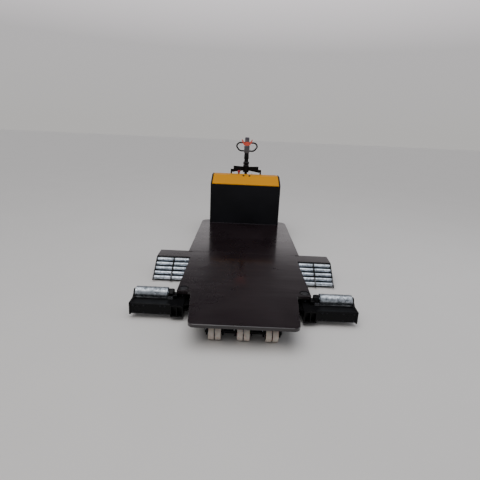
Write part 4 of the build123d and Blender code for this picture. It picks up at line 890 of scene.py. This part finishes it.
class TRACTOR_OT_frame_welds(Operator):
    """Lay the fillet welds of the tiller posts, the box's foot and the underframe"""

    bl_idname = "tractor.frame_welds"
    bl_label = "Frame Welds"

    def execute(self, context):
        radius = context.scene.tractor_sizes.bead_radius
        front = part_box("tiller_bridge")[0][1] / MM
        back = front + 40
        inner, outer = POST_FACES
        runs = []
        for sign in (-1, 1):
            runs += [((sign * x, front, POST_TOP), (sign * x, back, POST_TOP)) for x in POST_FACES]
            runs += [((sign * inner, y, POST_TOP), (sign * outer, y, POST_TOP)) for y in (front, back)]
            runs += [((sign * x, front + 6, 850), (sign * x, front + 6, 880)) for x in (173, 176)]
        weld_runs("bridge_welds", "chassis", runs, radius * 0.8)

        box_front, box_foot = (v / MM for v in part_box("housing_front")[0][1:])
        runs = [((-448, box_front, box_foot), (448, box_front, box_foot))]
        weld_runs("box_foot_seal", "chassis", runs, radius * 0.6)

        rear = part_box("deck_rear")[0][1] / MM
        middle = (rear + box_front) / 2
        runs = []
        for sign in (-1, 1):
            spine, rail = sign * SPINE_FACE, sign * SIDE_RAIL_FACE
            for y in (rear, rear - 16, middle, middle + 16, box_front, box_front - 16):
                runs.append(((spine, y, 64), (spine, y, 160)))
            for y in (rear, middle, middle + 16, box_front - 16, box_front):
                runs.append(((rail, y, 66), (rail, y, 172)))
                runs.append(((sign * 72, y, DECK_UNDERSIDE), (sign * 558, y, DECK_UNDERSIDE)))
            runs.append(((spine, SPINE_START, 163), (spine, rear - 20, 163)))
            runs.append(((spine, rear + 4, DECK_UNDERSIDE), (spine, box_front - 20, DECK_UNDERSIDE)))
        weld_runs("under_frame_welds", "chassis", runs, radius)
        return {"FINISHED"}


class TRACTOR_OT_housing(Operator):
    """Add the lid's buffers, the hinge screws and the louvres behind the battery"""

    bl_idname = "tractor.housing"
    bl_label = "Battery Housing"

    def execute(self, context):
        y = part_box("lid")[0][1] + BUFFER_BACK * MM
        z = (LID_FOOT + BUFFER_BACK * LID_RISE / LID_RUN - 0.6) * MM
        buffer = turned_item([(0, 0), (13, 0), (13, 7), (11, 11), (0, 11.6)], 28)
        spots = [facing((x * MM, y, z), (0, -LID_RISE, LID_RUN)) for x in (-33, 49)]
        add_piece("lid_buffers", "rubber", "lid", (buffer, spots))

        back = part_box("housing_rear")[1]
        screws, rows = [], []
        for sign in (-1, 1):
            for x in HINGE_SCREWS:
                screws.append(facing((sign * x * MM, back[1] - 0.3 * MM, back[2] - 30 * MM), TO_BACK))
            rows += [at((sign * 325 * MM, back[1], (500 + 24 * row) * MM)) for row in range(7)]
        screws_on("hinge_screws", "chassis", screws, 5 * MM, 2.4 * MM)
        louvre = block_item((150, 9, 9), bevel=3, segments=3)
        for vert in louvre.verts:
            if vert.co.z > 0:
                vert.co.y *= 0.35
        add_piece("rear_louvres", "housing_black", "chassis", (tidy(louvre), rows))
        return {"FINISHED"}


class TRACTOR_OT_battery(Operator):
    """Set the cells, vent caps and lead links on the battery under the lid"""

    bl_idname = "tractor.battery"
    bl_label = "Battery"

    def execute(self, context):
        low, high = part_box("battery")
        columns, rows = 6, 4
        wide, deep = (high[0] - low[0]) / columns, (high[1] - low[1]) / rows
        cells, caps, links = [], [], []
        for column in range(columns):
            for row in range(rows):
                x = low[0] + (column + 0.5) * wide
                y = low[1] + (row + 0.5) * deep
                cells.append(at((x, y, high[2] + 5 * MM)))
                caps.append(at((x, y - deep * 0.12, high[2] + 10.5 * MM)))
                if column < columns - 1:
                    links.append(at((x + wide / 2, y + deep * 0.25, high[2] + 13 * MM)))
        cell = block_item((wide / MM - 4, deep / MM - 4, 12), bevel=2.5)
        cap = turned_item([(0, 0), (14, 0), (14, 7), (12, 9), (0, 9)], 28)
        link = block_item((wide / MM * 0.62, 18, 5), bevel=1.5)
        add_piece("battery_cells", "battery_grey", "chassis", (cell, cells))
        add_piece("cell_caps", "orange_plastic", "chassis", (cap, caps))
        add_piece("cell_links", "pin_steel", "chassis", (link, links))
        return {"FINISHED"}


class TRACTOR_OT_drive(Operator):
    """Add the flange bolts and the screws of the brake, the terminal box and the steering coupling"""

    bl_idname = "tractor.drive"
    bl_label = "Drive Unit"

    def execute(self, context):
        sizes = context.scene.tractor_sizes
        centre = joint_place("steering")
        back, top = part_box("drive_motor")[1][1:]

        def ring_of(radius, count, first, z):
            """Places round the steering axis."""
            return [facing((centre.x + x, centre.y + y, z), UP) for x, y in circle(radius, count, first)]

        flange = ring_of(94, 8, math.pi / 8, FLANGE_TOP * MM)
        bolts_on("flange_bolts", "drive_unit", flange, sizes.bolt_radius * 0.75)
        screws_on("brake_screws", "drive_unit", ring_of(50, 6, 0, top), 4.5 * MM, 4 * MM)
        corners = [(x * MM, (TERMINAL_MIDDLE + z) * MM) for x in (-21, 21) for z in (-23, 23)]
        terminals = [facing((x, back, z), TO_BACK) for x, z in corners]
        screws_on("terminal_screws", "drive_unit", terminals, 3.5 * MM, 2 * MM)
        coupling = ring_of(30, 4, math.pi / 4, top + 30 * MM)
        screws_on("coupling_screws", "drive_unit", coupling, 4.5 * MM, 4 * MM)
        return {"FINISHED"}


class TRACTOR_OT_castors(Operator):
    """Add the axle nuts and the swivel seals of the castors"""

    bl_idname = "tractor.castors"
    bl_label = "Castors"

    def execute(self, context):
        for side in SIDES:
            fork = f"castor_fork_{side}"
            axle = joint_place(f"castor_wheel_{side}_roll")
            places = [facing(axle + mm(way * 33, 0, 0), (way, 0, 0)) for way in (-1, 1)]
            bolts_on(f"castor_nuts_{side}", fork, places, 11 * MM)
            swivel = joint_place(f"castor_{side}_swivel")
            seal = turned_item([(34, 0), (43.5, 0), (44, 2), (43.5, 4), (34, 4)], 48)
            spot = at((swivel.x, swivel.y, CASTOR_SEAL * MM))
            add_piece(f"castor_seal_{side}", "rubber", fork, (seal, [spot]))
        return {"FINISHED"}


class TRACTOR_OT_tiller(Operator):
    """Make the tiller's pod, cap and buttons, the loop's grips, the tilt knuckle and the column's sleeve"""

    bl_idname = "tractor.tiller"
    bl_label = "Tiller"

    def execute(self, context):
        low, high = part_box("tiller_head")
        centre_y = (low[1] + high[1]) / 2
        foot, top = low[2], high[2]
        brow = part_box("tiller_collar")[0][2]
        base = top - 63 * MM

        pod = rounded_post((80, 66, (brow - foot) / MM), (12, 6), (1.6, 3), foot=(74 / 80, 56 / 66))
        middle = at((0, centre_y, (foot + brow) / 2))
        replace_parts(add_piece("tiller_pod", "grey_plastic", "tiller", (pod, [middle])), "tiller_head")
        for name, z0, z1, crown, finish in (
            ("tiller_cap", base, base + 30 * MM, 1.2, "grey_plastic"),
            ("reverse_button", base + 31 * MM, top, 12, "dark_cap"),
        ):
            cap = rounded_post((62, 56, (z1 - z0) / MM), (12, 6), (crown, 5), ends=(1,))
            middle = at((0, centre_y, (z0 + z1) / 2))
            add_piece(name, finish, "tiller", (cap, [middle]), slot="grey_plastic")
        gaiter = block_item((56, 50, 4), bevel=1)
        add_piece("button_gaiter", "rubber", "tiller", (gaiter, [at((0, centre_y, base + 30.5 * MM))]))

        button = turned_item([(0, 0), (8, 0), (8, 2.5), (6.5, 4), (0, 4.6)], 28)
        spots, screws = [], []
        for x in (-14 * MM, 14 * MM):
            spots += [facing((x, centre_y + way * 30.5 * MM, foot + 80 * MM), (0, way, 0)) for way in (-1, 1)]
        add_piece("tiller_buttons", "dark_cap", "tiller", (button, spots), slot="black_plastic")
        for x in (-18 * MM, 18 * MM):
            for z in (14, 52):
                screws.append(facing((x, centre_y - (28.2 + 2 * z / 52) * MM, foot + z * MM), TO_FRONT))
        screws_on("pod_screws", "tiller", screws, 3.2 * MM, 1.6 * MM)

        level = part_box("tiller_loop")[1][2] - 11 * MM
        grip = bevelled(prism(bmesh.new(), 28, 12.2 * MM, 12.2 * MM, 44 * MM), 1.5 * MM, 3)
        spots = [facing((x * MM, centre_y, level), ALONG) for x in (-62, 62)]
        add_piece("loop_sleeves", "dark_red", "tiller", (grip, spots))

        pin = joint_place("tiller_tilt")
        head = turned_item([(0, 0), (13, 0), (13, 2.5), (11, 4), (0, 4)], 36)
        spots = [facing((way * 38.5 * MM, centre_y - 2 * MM, pin.z), (way, 0, 0)) for way in (-1, 1)]
        add_piece("tilt_pin_heads", "black_bolt", "drive_unit", (head, spots))
        knuckle = turned_item(both_ends([(0, -27.75), (27, -27.75), (28.5, -26.25)]), 48)
        add_piece("tilt_knuckle", "black_plastic", "tiller", (knuckle, [facing((0, pin.y, pin.z), ALONG)]))

        column_low, column_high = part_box("tiller_column")
        start, end = pin.z + 62 * MM, column_high[2] - 1 * MM
        sleeve = rounded_post((68, 56, (end - start) / MM), (9, 5), (1.5, 2), head=(62 / 68, 1))
        middle = at((0, (column_low[1] + column_high[1]) / 2, (start + end) / 2))
        add_piece("tiller_sleeve", "black_plastic", "tiller", (sleeve, [middle]))
        return {"FINISHED"}


class TRACTOR_OT_switches(Operator):
    """Add the collars of the emergency stop and the key switch and the console's screws"""

    bl_idname = "tractor.switches"
    bl_label = "Switches"

    def execute(self, context):
        collars = []
        for node, radius in (("emergency_stop", 20), ("key_switch", 17)):
            low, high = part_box(node)
            profile = [(radius * 0.6, 0), (radius, 0), (radius, 2), (radius - 2, 4), (radius * 0.6, 4)]
            foot = ((low[0] + high[0]) / 2, (low[1] + high[1]) / 2, low[2])
            collars.append((turned_item(profile, 36), [at(foot)]))
        add_piece("switch_collars", "pin_steel", "chassis", *collars)
        low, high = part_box("console")
        screws = []
        for x in (low[0] + 10 * MM, high[0] - 10 * MM):
            for z in (low[2] + 12 * MM, high[2] - 12 * MM):
                screws.append(facing((x * 0.9, high[1], z), TO_BACK))
        screws_on("console_screws", "chassis", screws, 3.2 * MM, 1.8 * MM)
        return {"FINISHED"}


class TRACTOR_OT_stage(Operator):
    """Set the floor, the camera at the photograph's angle and the soft light"""

    bl_idname = "tractor.stage"
    bl_label = "Stage"

    def execute(self, context):
        stage = context.scene.tractor_stage
        objects = context.scene.collection.objects
        bm = bmesh.new()
        bmesh.ops.create_grid(bm, x_segments=1, y_segments=1, size=40)
        mesh = bpy.data.meshes.new("studio_floor")
        bm.to_mesh(mesh)
        bm.free()
        mesh.materials.append(concrete(stage.floor))
        floor = bpy.data.objects.new("studio_floor", mesh)
        objects.link(floor)

        camera = bpy.data.objects.new("camera", bpy.data.cameras.new("camera"))
        camera.data.lens = stage.lens
        camera.data.sensor_width = 36
        camera.data.shift_y = -0.0552
        aim = Euler((math.radians(90) - stage.dip, 0, math.radians(-0.07))).to_matrix()
        camera.rotation_euler = (aim @ Matrix.Rotation(stage.tilt, 3, "Z")).to_euler()
        camera.location = (-0.063, -stage.distance, stage.height)
        objects.link(camera)
        context.scene.camera = camera

        for name, place, target, size, power, tint in (
            ("softbox_front", (-1.6, -3.4, 4.2), (0, -0.8, 0.2), 2.8, 35, "#FFF9F2"),
            ("softbox_over", (0.6, -0.6, 4.4), (0, 0, 0.3), 3.4, 40, "#F7F8FF"),
            ("softbox_side", (4.2, -1.0, 2.6), (0, 0, 0.3), 2.0, 20, "#F2F5FF"),
            ("ceiling_light", (-1.0, -1.5, 8.0), (0, 0, 0), 0, 1.6, "#FBFBFF"),
        ):
            light = bpy.data.lights.new(name, "AREA" if size else "SUN")
            if size:
                light.shape = "SQUARE"
                light.size = size
            else:
                light.angle = math.radians(60)
            light.energy = power
            light.color = linear(tint)
            lamp = bpy.data.objects.new(name, light)
            lamp.location = place
            lamp.rotation_euler = (Vector(place) - Vector(target)).to_track_quat("Z", "Y").to_euler()
            objects.link(lamp)
        context.scene.world = self.room()
        return {"FINISHED"}

    def room(self):
        """A pale studio, with a bright and a dark band behind the machine that its gloss deck mirrors."""
        world = bpy.data.worlds.new("studio")
        world.use_nodes = True
        tree = world.node_tree
        tree.nodes.clear()
        look = add_node(tree, "TexCoord").outputs["Generated"]
        height = add_node(tree, "SeparateXYZ", links={"Vector": look})
        band = add_node(tree, "ValToRGB", links={"Fac": height.outputs["Z"]})
        stops = band.color_ramp.elements
        stops[0].position, stops[0].color = 0.0, rgba("#C9C7C5")
        stops[1].position, stops[1].color = 1.0, rgba("#C4C5CA")
        shades = {0.20: "#CFCCCD", 0.32: "#FFF9FC", 0.39: "#4A474B", 0.62: "#38373B", 0.85: "#B8B9BE"}
        for level, shade in shades.items():
            stops.new(level).color = rgba(shade)
        span = {"From Min": -0.1, "From Max": 0.5}
        behind = add_node(tree, "MapRange", span, {"Value": height.outputs["Y"]})
        links = {"Factor": behind, "B": band}
        wall = add_node(tree, "Mix", {"A": rgba("#ACACB0")}, links, data_type="RGBA")
        sky = add_node(tree, "Background", {"Strength": 0.95}, {"Color": wall})
        add_node(tree, "OutputWorld", links={"Surface": sky})
        return world


OPERATORS = (
    TRACTOR_OT_finishes,
    TRACTOR_OT_front_wheels,
    TRACTOR_OT_rear_wheels,
    TRACTOR_OT_wheel_carrier,
    TRACTOR_OT_arms,
    TRACTOR_OT_pivots,
    TRACTOR_OT_ramps,
    TRACTOR_OT_frame_welds,
    TRACTOR_OT_housing,
    TRACTOR_OT_battery,
    TRACTOR_OT_drive,
    TRACTOR_OT_castors,
    TRACTOR_OT_tiller,
    TRACTOR_OT_switches,
    TRACTOR_OT_stage,
)


class TRACTOR_PT_sidebar(Panel):
    bl_label = "Tow Tractor"
    bl_idname = "TRACTOR_PT_sidebar"
    bl_space_type = "VIEW_3D"
    bl_region_type = "UI"
    bl_category = "Tractor"

    def draw(self, context):
        column = self.layout.column(align=True)
        for operator in OPERATORS:
            column.operator(operator.bl_idname)
        scene = context.scene
        for group in (scene.tractor_colours, scene.tractor_sizes, scene.tractor_stage):
            for name in group.__annotations__:
                self.layout.prop(group, name)


CLASSES = (TractorColours, TractorSizes, TractorStage, *OPERATORS, TRACTOR_PT_sidebar)


def register():
    for cls in CLASSES:
        bpy.utils.register_class(cls)
    bpy.types.Scene.tractor_colours = PointerProperty(type=TractorColours)
    bpy.types.Scene.tractor_sizes = PointerProperty(type=TractorSizes)
    bpy.types.Scene.tractor_stage = PointerProperty(type=TractorStage)


def unregister():
    del bpy.types.Scene.tractor_stage
    del bpy.types.Scene.tractor_sizes
    del bpy.types.Scene.tractor_colours
    for cls in reversed(CLASSES):
        bpy.utils.unregister_class(cls)


def main():
    register()
    for operator in OPERATORS:
        getattr(bpy.ops.tractor, operator.bl_idname.split(".")[1])()


if __name__ == "__main__":
    main()
